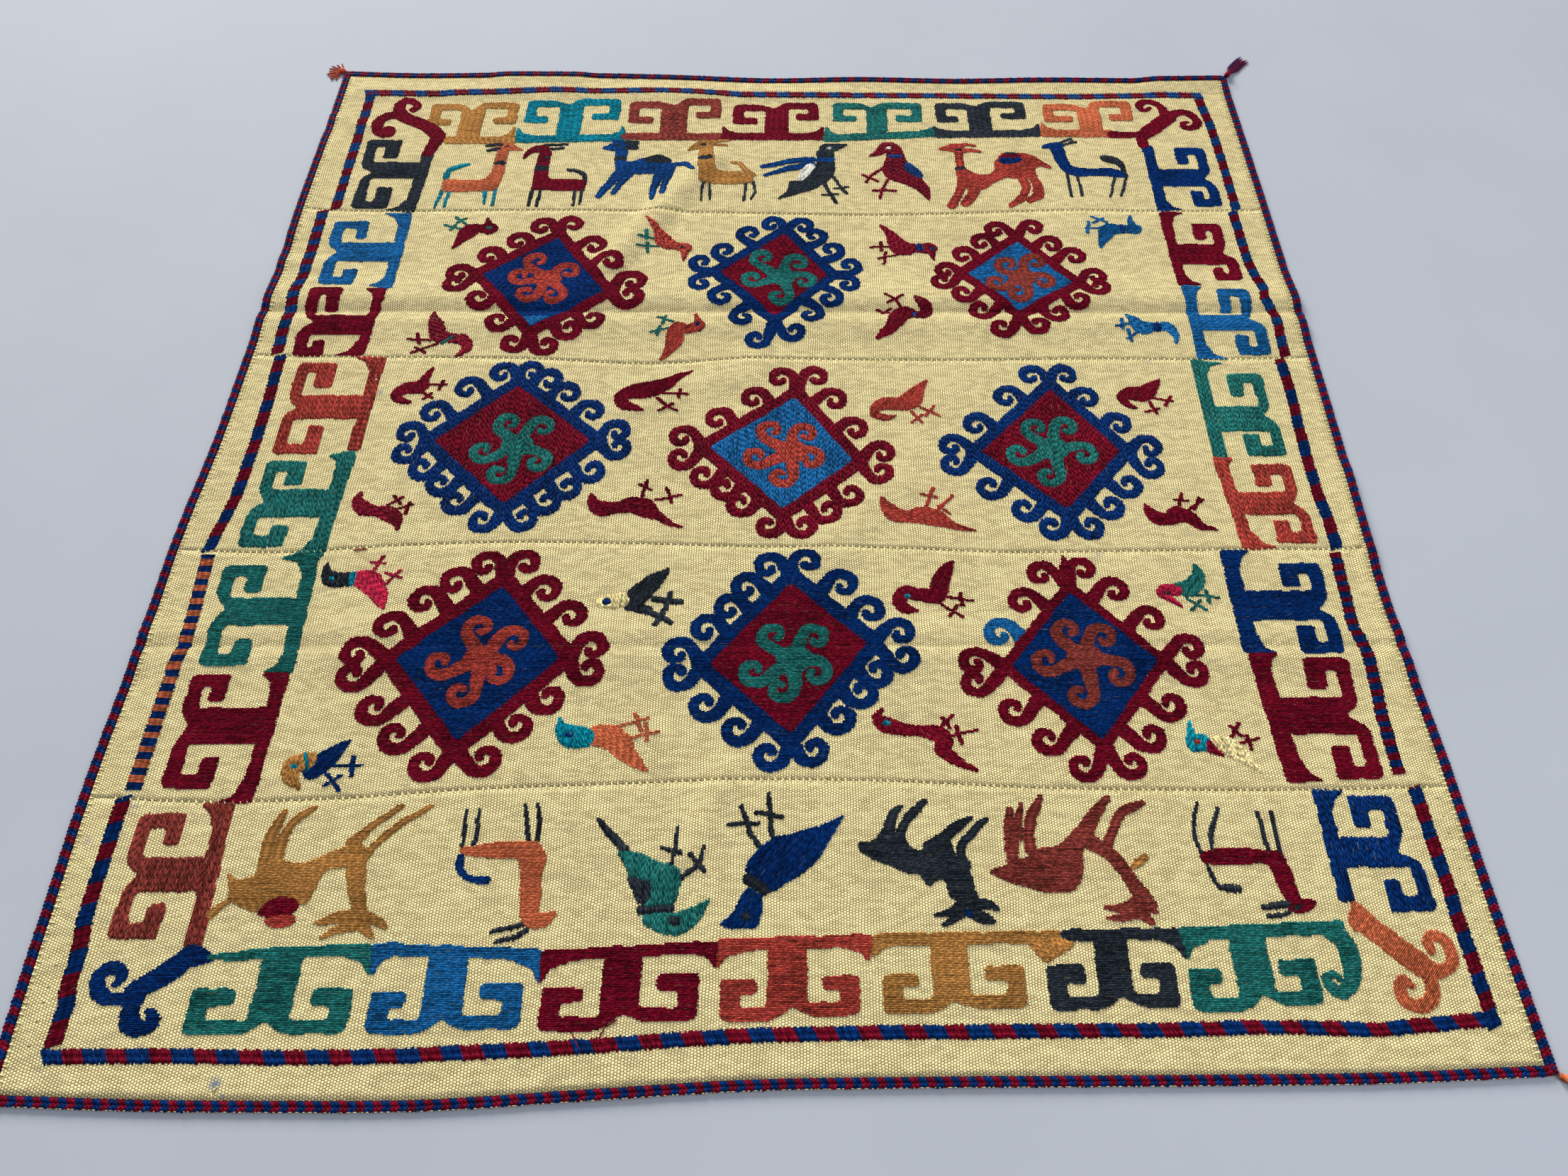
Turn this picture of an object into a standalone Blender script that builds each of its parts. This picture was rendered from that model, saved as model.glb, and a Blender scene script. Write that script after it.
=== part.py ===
"""A flat-woven wool rug: five cloth strips sewn edge to edge, a plaited edge on each side and
four corner tassels.

The rug lies on the floor. +Z is up, the strips run along X and the rug's length runs along Y.
Sizes are in metres. The origin is at the rug's middle, on the floor. Most places are given in the
rug's own directions, u across and v up the rug, and laid() turns them into X and Y.
"""

import bmesh
import bpy
import numpy as np

# Driving dimensions
CLOTH_THICK = 0.0025
EDGE_THICK = 0.0050
SIDE_EDGE_WIDTH = 0.0130
END_EDGE_WIDTH = 0.0120
EDGE_CHAMFER = 0.0012
CHAMFER_FROM_DEGREES = 50
GAP = 0.0003
MITRE_GAP = 0.00022
OUT_OF_SQUARE = 0.014
EDGE_LIFT = 0.0010
EDGE_LIFT_REACH = 0.040

# How finely the sheets are divided
COLUMN_PITCH = 0.056
FINE_COLUMN_PITCH = 0.024
FINE_COLUMNS_FROM = -0.37
FINE_COLUMNS_TO = -0.12
ROW_PITCH = 0.048
LEAST_ROW_PITCH = 0.009
WAVE_FADE = 4

# Turns of the calculation that finds where two curved lines meet, and the distance within which
# two points count as one
ROUNDS = 3
SAME_POINT = 1e-6

# The cloth's two ends and its four seams: how far up the rug each lies at these stations across it
ACROSS = (-0.96, -0.80, -0.62, -0.45, -0.25, -0.05, 0.15, 0.35, 0.55, 0.75, 0.96)
CROSS_LINES = (
    (1.004, 0.998, 1.002, 1.003, 0.999, 0.989, 0.996, 0.992, 0.999, 0.999, 1.005),
    (0.580, 0.574, 0.577, 0.580, 0.576, 0.572, 0.568, 0.575, 0.585, 0.583, 0.588),
    (0.196, 0.192, 0.190, 0.187, 0.175, 0.187, 0.184, 0.184, 0.187, 0.186, 0.190),
    (-0.220, -0.226, -0.214, -0.208, -0.212, -0.219, -0.222, -0.232, -0.231, -0.229, -0.230),
    (-0.635, -0.643, -0.640, -0.629, -0.623, -0.618, -0.623, -0.635, -0.641, -0.643, -0.640),
    (-1.016, -1.024, -1.029, -1.031, -1.023, -1.015, -1.015, -1.017, -1.019, -1.020, -1.015),
)

# The cloth's two sides: how far across the rug each lies at these stations up it
ALONG = (-1.02, -0.80, -0.60, -0.40, -0.20, 0.00, 0.20, 0.40, 0.60, 0.80, 1.00)
LEFT_SIDE = (-0.954, -0.959, -0.962, -0.957, -0.957, -0.947, -0.944, -0.941, -0.941, -0.938, -0.937)
RIGHT_SIDE = (0.955, 0.947, 0.943, 0.934, 0.933, 0.937, 0.939, 0.938, 0.938, 0.937, 0.935)

# Soft ridges: the two ends of the crest (u, v, u, v), its height and half its width
RIDGES = (
    # name, from u, from v, to u, to v, height, half width
    ("swell along the upper cross crease", -1.10, 0.316, 1.10, 0.316, 0.0080, 0.105),
    ("swell along the lower cross crease", -1.10, -0.388, 1.10, -0.414, 0.0045, 0.070),
    ("long slanting ridge", -0.160, 0.735, -0.345, 0.425, 0.0095, 0.046),
    ("short ridge in the lowest strip", -0.080, -0.600, -0.140, -0.730, 0.0045, 0.030),
    ("swell in the middle strip, left", -0.070, 0.175, -0.260, 0.085, 0.0040, 0.062),
    ("swell in the middle strip, right", 0.190, -0.090, 0.040, -0.255, 0.0040, 0.056),
    ("swell inside the top end", -0.900, 0.955, 0.100, 0.952, 0.0034, 0.040),
    ("bump on the top end, left", -0.600, 1.000, -0.460, 1.000, 0.0040, 0.050),
    ("bump on the top end, right", 0.800, 1.000, 0.920, 1.005, 0.0050, 0.055),
    ("wrinkle in the left margin, upper", -0.935, 0.858, -0.860, 0.834, 0.0030, 0.026),
    ("wrinkle in the left margin, lower", -0.950, 0.432, -0.850, 0.416, 0.0030, 0.030),
    ("swell along the left margin", -0.925, -0.480, -0.915, -0.960, 0.0030, 0.036),
    ("lift of the right edge", 0.940, -0.080, 0.935, -0.230, 0.0045, 0.050),
    ("lift of the left edge", -0.945, 0.780, -0.950, 0.520, 0.0035, 0.045),
)

# Sharp creases pressed into the swells: ends (u, v, u, v), the share of the height that is left
# out at the bottom, and half the width. A sharpness over 1 makes the sides hollow.
CREASE_SHARPNESS = 1.5
CREASES = (
    # name, from u, from v, to u, to v, depth, half width
    ("upper cross crease", -1.10, 0.303, 1.10, 0.303, 0.96, 0.033),
    ("lower cross crease", -1.10, -0.393, 1.10, -0.410, 0.92, 0.024),
)

# Rows of points laid along a crease, at these distances from its bottom
CREASE_ROWS = (-0.075, -0.033, -0.014, 0.0, 0.014, 0.033, 0.075)

# Colours: red, green, blue and roughness of each wool
WOOLS = {
    "cream wool": (0.78, 0.65, 0.34, 0.9),
    "crimson wool": (0.16, 0.008, 0.022, 0.9),
    "navy wool": (0.006, 0.025, 0.13, 0.9),
    "orange wool": (0.62, 0.13, 0.05, 0.9),
}

# Tassels. The knot is a short thick cord that starts in the corner of the plaited edges. Its rings
# are (distance out, radius) times the knot's size. Strands leave its far end side by side, a
# spacing apart at their tips.
KNOT_START_INSIDE = 0.0005
KNOT_START_RADIUS = 0.0014
KNOT_RINGS = ((0.24, 0.72), (0.55, 0.66), (0.80, 1.00), (1.00, 0.62))
KNOT_RESOLUTION = 2
STRANDS_FROM = 0.85
STRAND_STEPS = 6
STRAND_SPREADS_BY = 0.40
ROOT_SPREAD = 0.30
STRAND_RADII = (0.0011, 0.0013, 0.0012, 0.0014)
STRAND_LENGTHS = (1.00, 0.92, 1.05, 0.96, 0.88)
TASSELS = (
    # name, u side, v side, wool, heading, knot length, knot radius, strands, strand length,
    # spacing, fan and bend (headings and turns in degrees from +u, anticlockwise)
    ("tassel_top_left", -1, 1, "orange wool", 164, 0.014, 0.0050, 9, 0.031, 0.0010, 72, 28),
    ("tassel_top_right", 1, 1, "crimson wool", 52, 0.024, 0.0050, 9, 0.074, 0.0034, 0, -16),
    ("tassel_bottom_right", 1, -1, "orange wool", -28, 0.026, 0.0046, 8, 0.056, 0.0034, 0, -66),
    ("tassel_bottom_left", -1, -1, "crimson wool", 226, 0.022, 0.0050, 9, 0.066, 0.0034, 0, 12),
)


def remove_everything():
    """Starts from an empty scene."""
    for old in list(bpy.data.objects):
        bpy.data.objects.remove(old, do_unlink=True)


def new_collection(name):
    """A collection linked to the scene."""
    made = bpy.data.collections.new(name)
    bpy.context.scene.collection.children.link(made)
    return made


def wool(name, kind):
    """A rough Principled material of one wool, named for its piece."""
    red, green, blue, roughness = WOOLS[kind]
    made = bpy.data.materials.new(name + " wool")
    made.use_nodes = True
    shader = made.node_tree.nodes["Principled BSDF"]
    shader.inputs["Base Color"].default_value = (red, green, blue, 1.0)
    shader.inputs["Roughness"].default_value = roughness
    shader.inputs["Metallic"].default_value = 0.0
    return made


def smooth_through(stations, values, at):
    """A cubic through the values, whose slope at each station is that of its neighbours."""
    stations = np.asarray(stations, float)
    values = np.asarray(values, float)
    slopes = np.gradient(values, stations)
    at = np.clip(at, stations[0], stations[-1])
    left = np.clip(np.searchsorted(stations, at) - 1, 0, len(stations) - 2)
    span = stations[left + 1] - stations[left]
    t = (at - stations[left]) / span
    start = (1 + 2 * t) * (1 - t) ** 2 * values[left] + t * (1 - t) ** 2 * span * slopes[left]
    end = t * t * (3 - 2 * t) * values[left + 1] - t * t * (1 - t) * span * slopes[left + 1]
    return start + end


def cross_line(number, u):
    """How far up the rug line number lies at u: 0 is the top end, 1 to 4 are seams, 5 the bottom."""
    return smooth_through(ACROSS, CROSS_LINES[number], u)


def side_line(side, v):
    """How far across the rug the cloth's left side (-1) or right side (1) lies at v."""
    return smooth_through(ALONG, LEFT_SIDE if side < 0 else RIGHT_SIDE, v)


def distance_to(u, v, from_u, from_v, to_u, to_v):
    """The distance from each point to a straight stretch between two points."""
    run_u = to_u - from_u
    run_v = to_v - from_v
    share = ((u - from_u) * run_u + (v - from_v) * run_v) / (run_u**2 + run_v**2)
    share = np.clip(share, 0.0, 1.0)
    return np.hypot(u - from_u - share * run_u, v - from_v - share * run_v)


def ground_height(u, v):
    """How high the folds lift the cloth: round-topped ridges, less the sharp creases in them."""
    height = np.zeros(np.broadcast(u, v).shape)
    for _, from_u, from_v, to_u, to_v, crest, half_width in RIDGES:
        away = np.minimum(distance_to(u, v, from_u, from_v, to_u, to_v) / half_width, 1.0)
        height += crest * (1 - away**2) ** 2
    for _, from_u, from_v, to_u, to_v, depth, half_width in CREASES:
        away = np.minimum(distance_to(u, v, from_u, from_v, to_u, to_v) / half_width, 1.0)
        height *= 1 - depth * (1 - away) ** CREASE_SHARPNESS
    return height


def cloth_height(u, v):
    """The cloth's underside: the folds, and a slight lift where the thicker edge carries it."""
    inwards = np.minimum.reduce(
        [
            u - side_line(-1, v),
            side_line(1, v) - u,
            cross_line(0, u) - v,
            v - cross_line(5, u),
        ]
    )
    share = np.clip(1 - inwards / EDGE_LIFT_REACH, 0.0, 1.0)
    return ground_height(u, v) + EDGE_LIFT * share**2


def laid(u, v, height):
    """Points in X, Y and Z: the laid rug leans a little out of square."""
    return np.stack([u + OUT_OF_SQUARE * v, v + OUT_OF_SQUARE * u, height], axis=-1)


def sheet(name, columns, rows, place, thick, material, collection):
    """A grid whose point (column, row) goes to place(column, row), thickened upwards."""
    bm = bmesh.new()
    bmesh.ops.create_grid(bm, x_segments=columns, y_segments=rows, size=1.0)
    mesh = bpy.data.meshes.new(name)
    bm.to_mesh(mesh)
    bm.free()
    points = np.empty(3 * len(mesh.vertices))
    mesh.vertices.foreach_get("co", points)
    points = points.reshape(-1, 3)
    column = np.rint((points[:, 0] + 1) / 2 * columns).astype(int)
    row = np.rint((points[:, 1] + 1) / 2 * rows).astype(int)
    mesh.vertices.foreach_set("co", place(column, row).ravel())
    mesh.materials.append(material)
    made = bpy.data.objects.new(name, mesh)
    collection.objects.link(made)
    solid = made.modifiers.new("Thickness", "SOLIDIFY")
    solid.thickness = thick
    solid.offset = 1.0
    solid.use_even_offset = True
    return made


def columns_across():
    """Where the sheets' columns lie across the rug: closer together at the slanting ridge."""
    left = np.arange(ACROSS[0], FINE_COLUMNS_FROM, COLUMN_PITCH)
    middle = np.arange(FINE_COLUMNS_FROM, FINE_COLUMNS_TO, FINE_COLUMN_PITCH)
    steps = int(round((ACROSS[-1] - FINE_COLUMNS_TO) / COLUMN_PITCH))
    right = np.linspace(FINE_COLUMNS_TO, ACROSS[-1], steps + 1)
    stations = np.concatenate([left, middle, right])
    return (stations - stations[0]) / (stations[-1] - stations[0])


def rows_along(bottom, top):
    """Shares of the way up a stretch where its rows lie: an even pitch, with rows on each crease."""
    count = max(int(round((top - bottom) / ROW_PITCH)), 2)
    even = np.linspace(bottom, top, count + 1)
    on_crease = []
    for _, _, from_v, _, to_v, _, _ in CREASES:
        middle = (from_v + to_v) / 2
        if bottom < middle < top:
            on_crease += [middle + step for step in CREASE_ROWS]
    kept = [bottom, top, *on_crease]
    for v in even[1:-1]:
        if min(abs(v - other) for other in kept) > 2 * LEAST_ROW_PITCH:
            kept.append(v)
    return (np.sort(kept) - bottom) / (top - bottom)


def cloth_panel(number, material, collection):
    """One cloth strip, between line number - 1 and line number, inside the rug's two sides."""
    top_middle = np.mean(CROSS_LINES[number - 1])
    bottom_middle = np.mean(CROSS_LINES[number])
    column_shares = columns_across()
    row_shares = rows_along(bottom_middle, top_middle)
    top_gap = GAP / 2 if number > 1 else 0.0
    bottom_gap = GAP / 2 if number < 5 else 0.0

    def place(column, row):
        across = column_shares[column]
        up = row_shares[row]
        v = bottom_middle + up * (top_middle - bottom_middle)
        for _ in range(ROUNDS):
            left = side_line(-1, v)
            u = left + across * (side_line(1, v) - left)
            top_wave = cross_line(number - 1, u) - top_gap - top_middle
            bottom_wave = cross_line(number, u) + bottom_gap - bottom_middle
            even = bottom_middle + up * (top_middle - bottom_middle)
            v = even + top_wave * up**WAVE_FADE + bottom_wave * (1 - up) ** WAVE_FADE
        return laid(u, v, cloth_height(u, v))

    columns = len(column_shares) - 1
    rows = len(row_shares) - 1
    name = f"panel_{number}"
    return sheet(name, columns, rows, place, CLOTH_THICK, material, collection)


def cloth_corner(u_side, v_side):
    """Where a side line and an end line of the cloth meet."""
    line = 0 if v_side > 0 else 5
    v = np.mean(CROSS_LINES[line])
    for _ in range(ROUNDS):
        u = side_line(u_side, v)
        v = cross_line(line, u)
    return np.array([float(u), float(v)])


def side_edge(side, material, collection):
    """The plaited edge along the left (-1) or right (1) side, mitred at both ends."""
    low = cloth_corner(side, -1)[1]
    high = cloth_corner(side, 1)[1]
    shares = rows_along(low, high)
    last = len(shares) - 1
    ends = np.zeros(last + 1)
    ends[0], ends[last] = -1.0, 1.0

    def place(column, row):
        v = low + shares[row] * (high - low)
        u = side_line(side, v)
        outer = (column == 0) if side < 0 else (column == 1)
        away = side * np.where(outer, GAP + SIDE_EDGE_WIDTH, GAP)
        past_end = ends[row] * (np.where(outer, GAP + END_EDGE_WIDTH, GAP) - MITRE_GAP)
        return laid(u + away, v + past_end, ground_height(u, v))

    name = "edge_left" if side < 0 else "edge_right"
    return plaited_edge(name, last, place, material, collection)


def end_edge(end, material, collection):
    """The plaited edge along the bottom (-1) or top (1) end, mitred at both ends."""
    left = cloth_corner(-1, end)[0]
    right = cloth_corner(1, end)[0]
    shares = columns_across()
    last = len(shares) - 1
    line = 0 if end > 0 else 5
    ends = np.zeros(last + 1)
    ends[0], ends[last] = -1.0, 1.0

    def place(column, row):
        u = left + shares[row] * (right - left)
        v = cross_line(line, u)
        outer = (column == 0) if end > 0 else (column == 1)
        away = end * np.where(outer, GAP + END_EDGE_WIDTH, GAP)
        past_end = ends[row] * (np.where(outer, GAP + SIDE_EDGE_WIDTH, GAP) - MITRE_GAP)
        return laid(u + past_end, v + away, ground_height(u, v))

    name = "edge_bottom" if end < 0 else "edge_top"
    return plaited_edge(name, last, place, material, collection)


def plaited_edge(name, steps, place, material, collection):
    """A strip of the edge's thickness with its long sides chamfered."""
    made = sheet(name, 1, steps, place, EDGE_THICK, material, collection)
    chamfer = made.modifiers.new("Rounded sides", "BEVEL")
    chamfer.width = EDGE_CHAMFER
    chamfer.segments = 1
    chamfer.limit_method = "ANGLE"
    chamfer.angle_limit = np.radians(CHAMFER_FROM_DEGREES)
    return made


def tube(name, points, radii, resolution):
    """A closed mesh tube along points, with a radius at each, lowered to rest on the floor."""
    curve = bpy.data.curves.new(name, "CURVE")
    curve.dimensions = "3D"
    curve.bevel_depth = 1.0
    curve.bevel_resolution = resolution
    curve.use_fill_caps = True
    spline = curve.splines.new("POLY")
    spline.points.add(len(points) - 1)
    spline.points.foreach_set("co", np.c_[points, np.ones(len(points))].ravel())
    spline.points.foreach_set("radius", radii)
    drawn = bpy.data.objects.new(name, curve)
    bpy.context.scene.collection.objects.link(drawn)
    bpy.context.view_layer.update()
    evaluated = drawn.evaluated_get(bpy.context.evaluated_depsgraph_get())
    mesh = bpy.data.meshes.new_from_object(evaluated)
    bpy.data.objects.remove(drawn, do_unlink=True)
    bm = bmesh.new()
    bm.from_mesh(mesh)
    bmesh.ops.remove_doubles(bm, verts=bm.verts, dist=SAME_POINT)
    lowest = min(vert.co.z for vert in bm.verts)
    bmesh.ops.translate(bm, verts=bm.verts, vec=(0.0, 0.0, -lowest))
    bm.to_mesh(mesh)
    bm.free()
    return mesh


def strand_path(start, heading, length, sideways, fan, bend):
    """Points along a strand: it leaves the knot, moves aside to its own lane and bends evenly."""
    share = np.linspace(0.0, 1.0, STRAND_STEPS)
    turned = np.radians(heading + fan + bend * share)
    middle = np.stack([np.cos(turned), np.sin(turned)], axis=-1)
    steps = (middle[1:] + middle[:-1]) / 2 * length / (STRAND_STEPS - 1)
    axis = start + np.concatenate([[[0.0, 0.0]], np.cumsum(steps, axis=0)])
    lane = np.minimum(share / STRAND_SPREADS_BY, 1.0)
    aside = sideways * (ROOT_SPREAD + (1 - ROOT_SPREAD) * lane * lane * (3 - 2 * lane))
    across = np.stack([-middle[:, 1], middle[:, 0]], axis=-1)
    return axis + across * aside[:, None]


def tassel(row, collection, cutters):
    """A knot at the rug's corner, with strands that lie level on the floor joined into it."""
    (name, u_side, v_side, kind, heading, knot_length, knot_radius, strands, strand_length,
     spacing, fan, bend) = row
    outwards = np.array([u_side * (SIDE_EDGE_WIDTH + GAP), v_side * (END_EDGE_WIDTH + GAP)])
    corner = cloth_corner(u_side, v_side) + outwards
    way = np.array([np.cos(np.radians(heading)), np.sin(np.radians(heading))])
    diagonal = np.array([u_side, v_side]) / np.sqrt(2)
    rings = np.array(KNOT_RINGS)
    middles = np.vstack([corner - diagonal * KNOT_START_INSIDE,
                         corner + way * knot_length * rings[:, :1]])
    radii = np.r_[KNOT_START_RADIUS, knot_radius * rings[:, 1]]
    knot_points = laid(middles[:, 0], middles[:, 1], np.full(len(middles), knot_radius))
    knot = bpy.data.objects.new(name, tube(name, knot_points, radii, KNOT_RESOLUTION))
    collection.objects.link(knot)
    knot.data.materials.append(wool(name, kind))

    start = corner + way * knot_length * STRANDS_FROM
    loose = bmesh.new()
    for number in range(strands):
        lane = number - (strands - 1) / 2
        radius = STRAND_RADII[number % len(STRAND_RADII)]
        own_fan = 2 * fan * lane / (strands - 1)
        length = strand_length * STRAND_LENGTHS[number % len(STRAND_LENGTHS)]
        path = strand_path(start, heading, length, lane * spacing, own_fan, bend)
        points = laid(path[:, 0], path[:, 1], np.full(len(path), radius))
        strand = tube("strand", points, np.full(len(path), radius), 0)
        loose.from_mesh(strand)
        bpy.data.meshes.remove(strand)
    mesh = bpy.data.meshes.new(name + " strands")
    loose.to_mesh(mesh)
    loose.free()
    bundle = bpy.data.objects.new(name + " strands", mesh)
    bundle.hide_render = True
    bundle.display_type = "WIRE"
    cutters.objects.link(bundle)
    join = knot.modifiers.new("Strands", "BOOLEAN")
    join.operation = "UNION"
    join.solver = "EXACT"
    join.use_self = True
    join.object = bundle
    return knot


def main():
    """Builds the cloth strips, the plaited edges and the tassels."""
    remove_everything()
    rug = new_collection("rug")
    cutters = new_collection("cutters")
    for number in range(1, len(CROSS_LINES)):
        cloth_panel(number, wool(f"panel_{number}", "cream wool"), rug)
    for side in (-1, 1):
        side_edge(side, wool("edge_left" if side < 0 else "edge_right", "crimson wool"), rug)
    for end in (-1, 1):
        end_edge(end, wool("edge_bottom" if end < 0 else "edge_top", "navy wool"), rug)
    for row in TASSELS:
        tassel(row, rug, cutters)


main()
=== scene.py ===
# %% [markdown]
# # An embroidered flat-woven rug
# The real object is a heavy cream wool cloth of five hand-woven strips sewn edge to edge, worked all
# over in coloured wool, bound with a plaited edge and finished with a tassel at each corner. It lies
# on a floor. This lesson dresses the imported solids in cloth, stitches, plait and yarn. Lengths in the
# tables of the embroidery are in millimetres, all others in metres.

import bpy
import numpy as np
from mathutils import Matrix


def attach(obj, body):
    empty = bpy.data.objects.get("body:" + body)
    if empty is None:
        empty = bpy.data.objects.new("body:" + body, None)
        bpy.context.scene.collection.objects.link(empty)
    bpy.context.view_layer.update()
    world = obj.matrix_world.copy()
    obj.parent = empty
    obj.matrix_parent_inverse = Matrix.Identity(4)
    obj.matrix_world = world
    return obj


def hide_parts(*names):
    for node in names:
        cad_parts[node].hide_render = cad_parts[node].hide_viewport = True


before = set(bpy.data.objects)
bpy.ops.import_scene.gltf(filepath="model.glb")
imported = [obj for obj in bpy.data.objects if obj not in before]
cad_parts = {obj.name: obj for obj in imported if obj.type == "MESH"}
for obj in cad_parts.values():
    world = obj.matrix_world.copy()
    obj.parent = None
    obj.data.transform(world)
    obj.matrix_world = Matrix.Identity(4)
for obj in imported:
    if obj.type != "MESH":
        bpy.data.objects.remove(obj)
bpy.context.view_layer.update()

# %% [markdown]
# ## The camera
# The rug is seen from its near end, from a little over a metre and a half up, looking down steeply.
# The three rows are the camera's own right, up and backward directions in the rug's frame.

# %% Camera
CAMERA_PLACE = (-0.051, -1.2865, 1.5507)
CAMERA_RIGHT = (0.99973, -0.00707, 0.02225)
CAMERA_UP = (-0.00602, 0.84264, 0.53844)
CAMERA_BACK = (-0.02255, -0.53842, 0.84237)
LENS_MM = 27.05
SENSOR_MM = 36.0


def facing(right, up, back, place):
    """The matrix of a camera or a lamp: its own three directions and its place as columns."""
    turned = np.eye(4)
    turned[:3] = np.array([right, up, back, place]).T
    return Matrix(turned.tolist())


camera_data = bpy.data.cameras.new("camera")
camera_data.lens = LENS_MM
camera_data.sensor_width = SENSOR_MM
camera = bpy.data.objects.new("camera", camera_data)
bpy.context.scene.collection.objects.link(camera)
camera.matrix_world = facing(CAMERA_RIGHT, CAMERA_UP, CAMERA_BACK, CAMERA_PLACE)
bpy.context.scene.camera = camera
print("camera looks down by", round(float(np.degrees(np.arcsin(CAMERA_BACK[2]))), 1), "degrees")

# %% [markdown]
# ## How the rug lies
# Five strips of cloth make the ground. Their seams and ends are gently curved, because hand-woven
# strips never come out quite straight, so each line is a short table of places with a smooth curve
# through them. The folds are a few soft ridges, two of them with a sharp crease pressed in where the
# rug was folded for storage. These are the same tables as the solids have.

# %% The rug's lines
CLOTH_THICK = 0.0025
OUT_OF_SQUARE = 0.014
GAP = 0.0003
ACROSS = (-0.96, -0.80, -0.62, -0.45, -0.25, -0.05, 0.15, 0.35, 0.55, 0.75, 0.96)
CROSS_LINES = (
    (1.004, 0.998, 1.002, 1.003, 0.999, 0.989, 0.996, 0.992, 0.999, 0.999, 1.005),
    (0.580, 0.574, 0.577, 0.580, 0.576, 0.572, 0.568, 0.575, 0.585, 0.583, 0.588),
    (0.196, 0.192, 0.190, 0.187, 0.175, 0.187, 0.184, 0.184, 0.187, 0.186, 0.190),
    (-0.220, -0.226, -0.214, -0.208, -0.212, -0.219, -0.222, -0.232, -0.231, -0.229, -0.230),
    (-0.635, -0.643, -0.640, -0.629, -0.623, -0.618, -0.623, -0.635, -0.641, -0.643, -0.640),
    (-1.016, -1.024, -1.029, -1.031, -1.023, -1.015, -1.015, -1.017, -1.019, -1.020, -1.015),
)
ALONG = (-1.02, -0.80, -0.60, -0.40, -0.20, 0.00, 0.20, 0.40, 0.60, 0.80, 1.00)
LEFT_SIDE = (-0.954, -0.959, -0.962, -0.957, -0.957, -0.947, -0.944, -0.941, -0.941, -0.938, -0.937)
RIGHT_SIDE = (0.955, 0.947, 0.943, 0.934, 0.933, 0.937, 0.939, 0.938, 0.938, 0.937, 0.935)


def smooth_through(stations, values, at):
    """A cubic through the values: between two stations the blend of both values and both slopes,
    each slope being that of the straight line between its neighbours."""
    stations = np.asarray(stations, float)
    values = np.asarray(values, float)
    slopes = np.gradient(values, stations)
    at = np.clip(at, stations[0], stations[-1])
    left = np.clip(np.searchsorted(stations, at) - 1, 0, len(stations) - 2)
    span = stations[left + 1] - stations[left]
    t = (at - stations[left]) / span
    start = (1 + 2 * t) * (1 - t) ** 2 * values[left] + t * (1 - t) ** 2 * span * slopes[left]
    end = t * t * (3 - 2 * t) * values[left + 1] - t * t * (1 - t) * span * slopes[left + 1]
    return start + end


def cross_line(number, u):
    """How far up the rug line number lies at u: 0 is the top end, 1 to 4 are seams, 5 the bottom."""
    return smooth_through(ACROSS, CROSS_LINES[number], u)


def side_line(side, v):
    """How far across the rug the cloth's left side (-1) or right side (1) lies at v."""
    return smooth_through(ALONG, LEFT_SIDE if side < 0 else RIGHT_SIDE, v)


def laid(u, v, height):
    """X is u plus a small share of v, Y is v plus the same share of u: the rug leans out of square."""
    return np.stack([u + OUT_OF_SQUARE * v, v + OUT_OF_SQUARE * u, height], axis=-1)


print("strip widths:", [round(a[5] - b[5], 3) for a, b in zip(CROSS_LINES, CROSS_LINES[1:])])

# %% [markdown]
# ## Folds
# A ridge is a round-topped bank along a straight stretch. A crease takes a share of the height away
# again, most at its bottom line, so that it looks pressed. Near its border the cloth rises a little
# onto the thicker plaited edge.

# %% Folds as heights
EDGE_LIFT = 0.0010
EDGE_LIFT_REACH = 0.040
RIDGES = (
    # name, from u, from v, to u, to v, height, half width
    ("swell along the upper cross crease", -1.10, 0.316, 1.10, 0.316, 0.0080, 0.105),
    ("swell along the lower cross crease", -1.10, -0.388, 1.10, -0.414, 0.0045, 0.070),
    ("long slanting ridge", -0.160, 0.735, -0.345, 0.425, 0.0095, 0.046),
    ("short ridge in the lowest strip", -0.080, -0.600, -0.140, -0.730, 0.0045, 0.030),
    ("swell in the middle strip, left", -0.070, 0.175, -0.260, 0.085, 0.0040, 0.062),
    ("swell in the middle strip, right", 0.190, -0.090, 0.040, -0.255, 0.0040, 0.056),
    ("swell inside the top end", -0.900, 0.955, 0.100, 0.952, 0.0034, 0.040),
    ("bump on the top end, left", -0.600, 1.000, -0.460, 1.000, 0.0040, 0.050),
    ("bump on the top end, right", 0.800, 1.000, 0.920, 1.005, 0.0050, 0.055),
    ("wrinkle in the left margin, upper", -0.935, 0.858, -0.860, 0.834, 0.0030, 0.026),
    ("wrinkle in the left margin, lower", -0.950, 0.432, -0.850, 0.416, 0.0030, 0.030),
    ("swell along the left margin", -0.925, -0.480, -0.915, -0.960, 0.0030, 0.036),
    ("lift of the right edge", 0.940, -0.080, 0.935, -0.230, 0.0045, 0.050),
    ("lift of the left edge", -0.945, 0.780, -0.950, 0.520, 0.0035, 0.045),
)
CREASE_SHARPNESS = 1.5
CREASES = (
    # name, from u, from v, to u, to v, depth, half width
    ("upper cross crease", -1.10, 0.303, 1.10, 0.303, 0.96, 0.033),
    ("lower cross crease", -1.10, -0.393, 1.10, -0.410, 0.92, 0.024),
)


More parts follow.
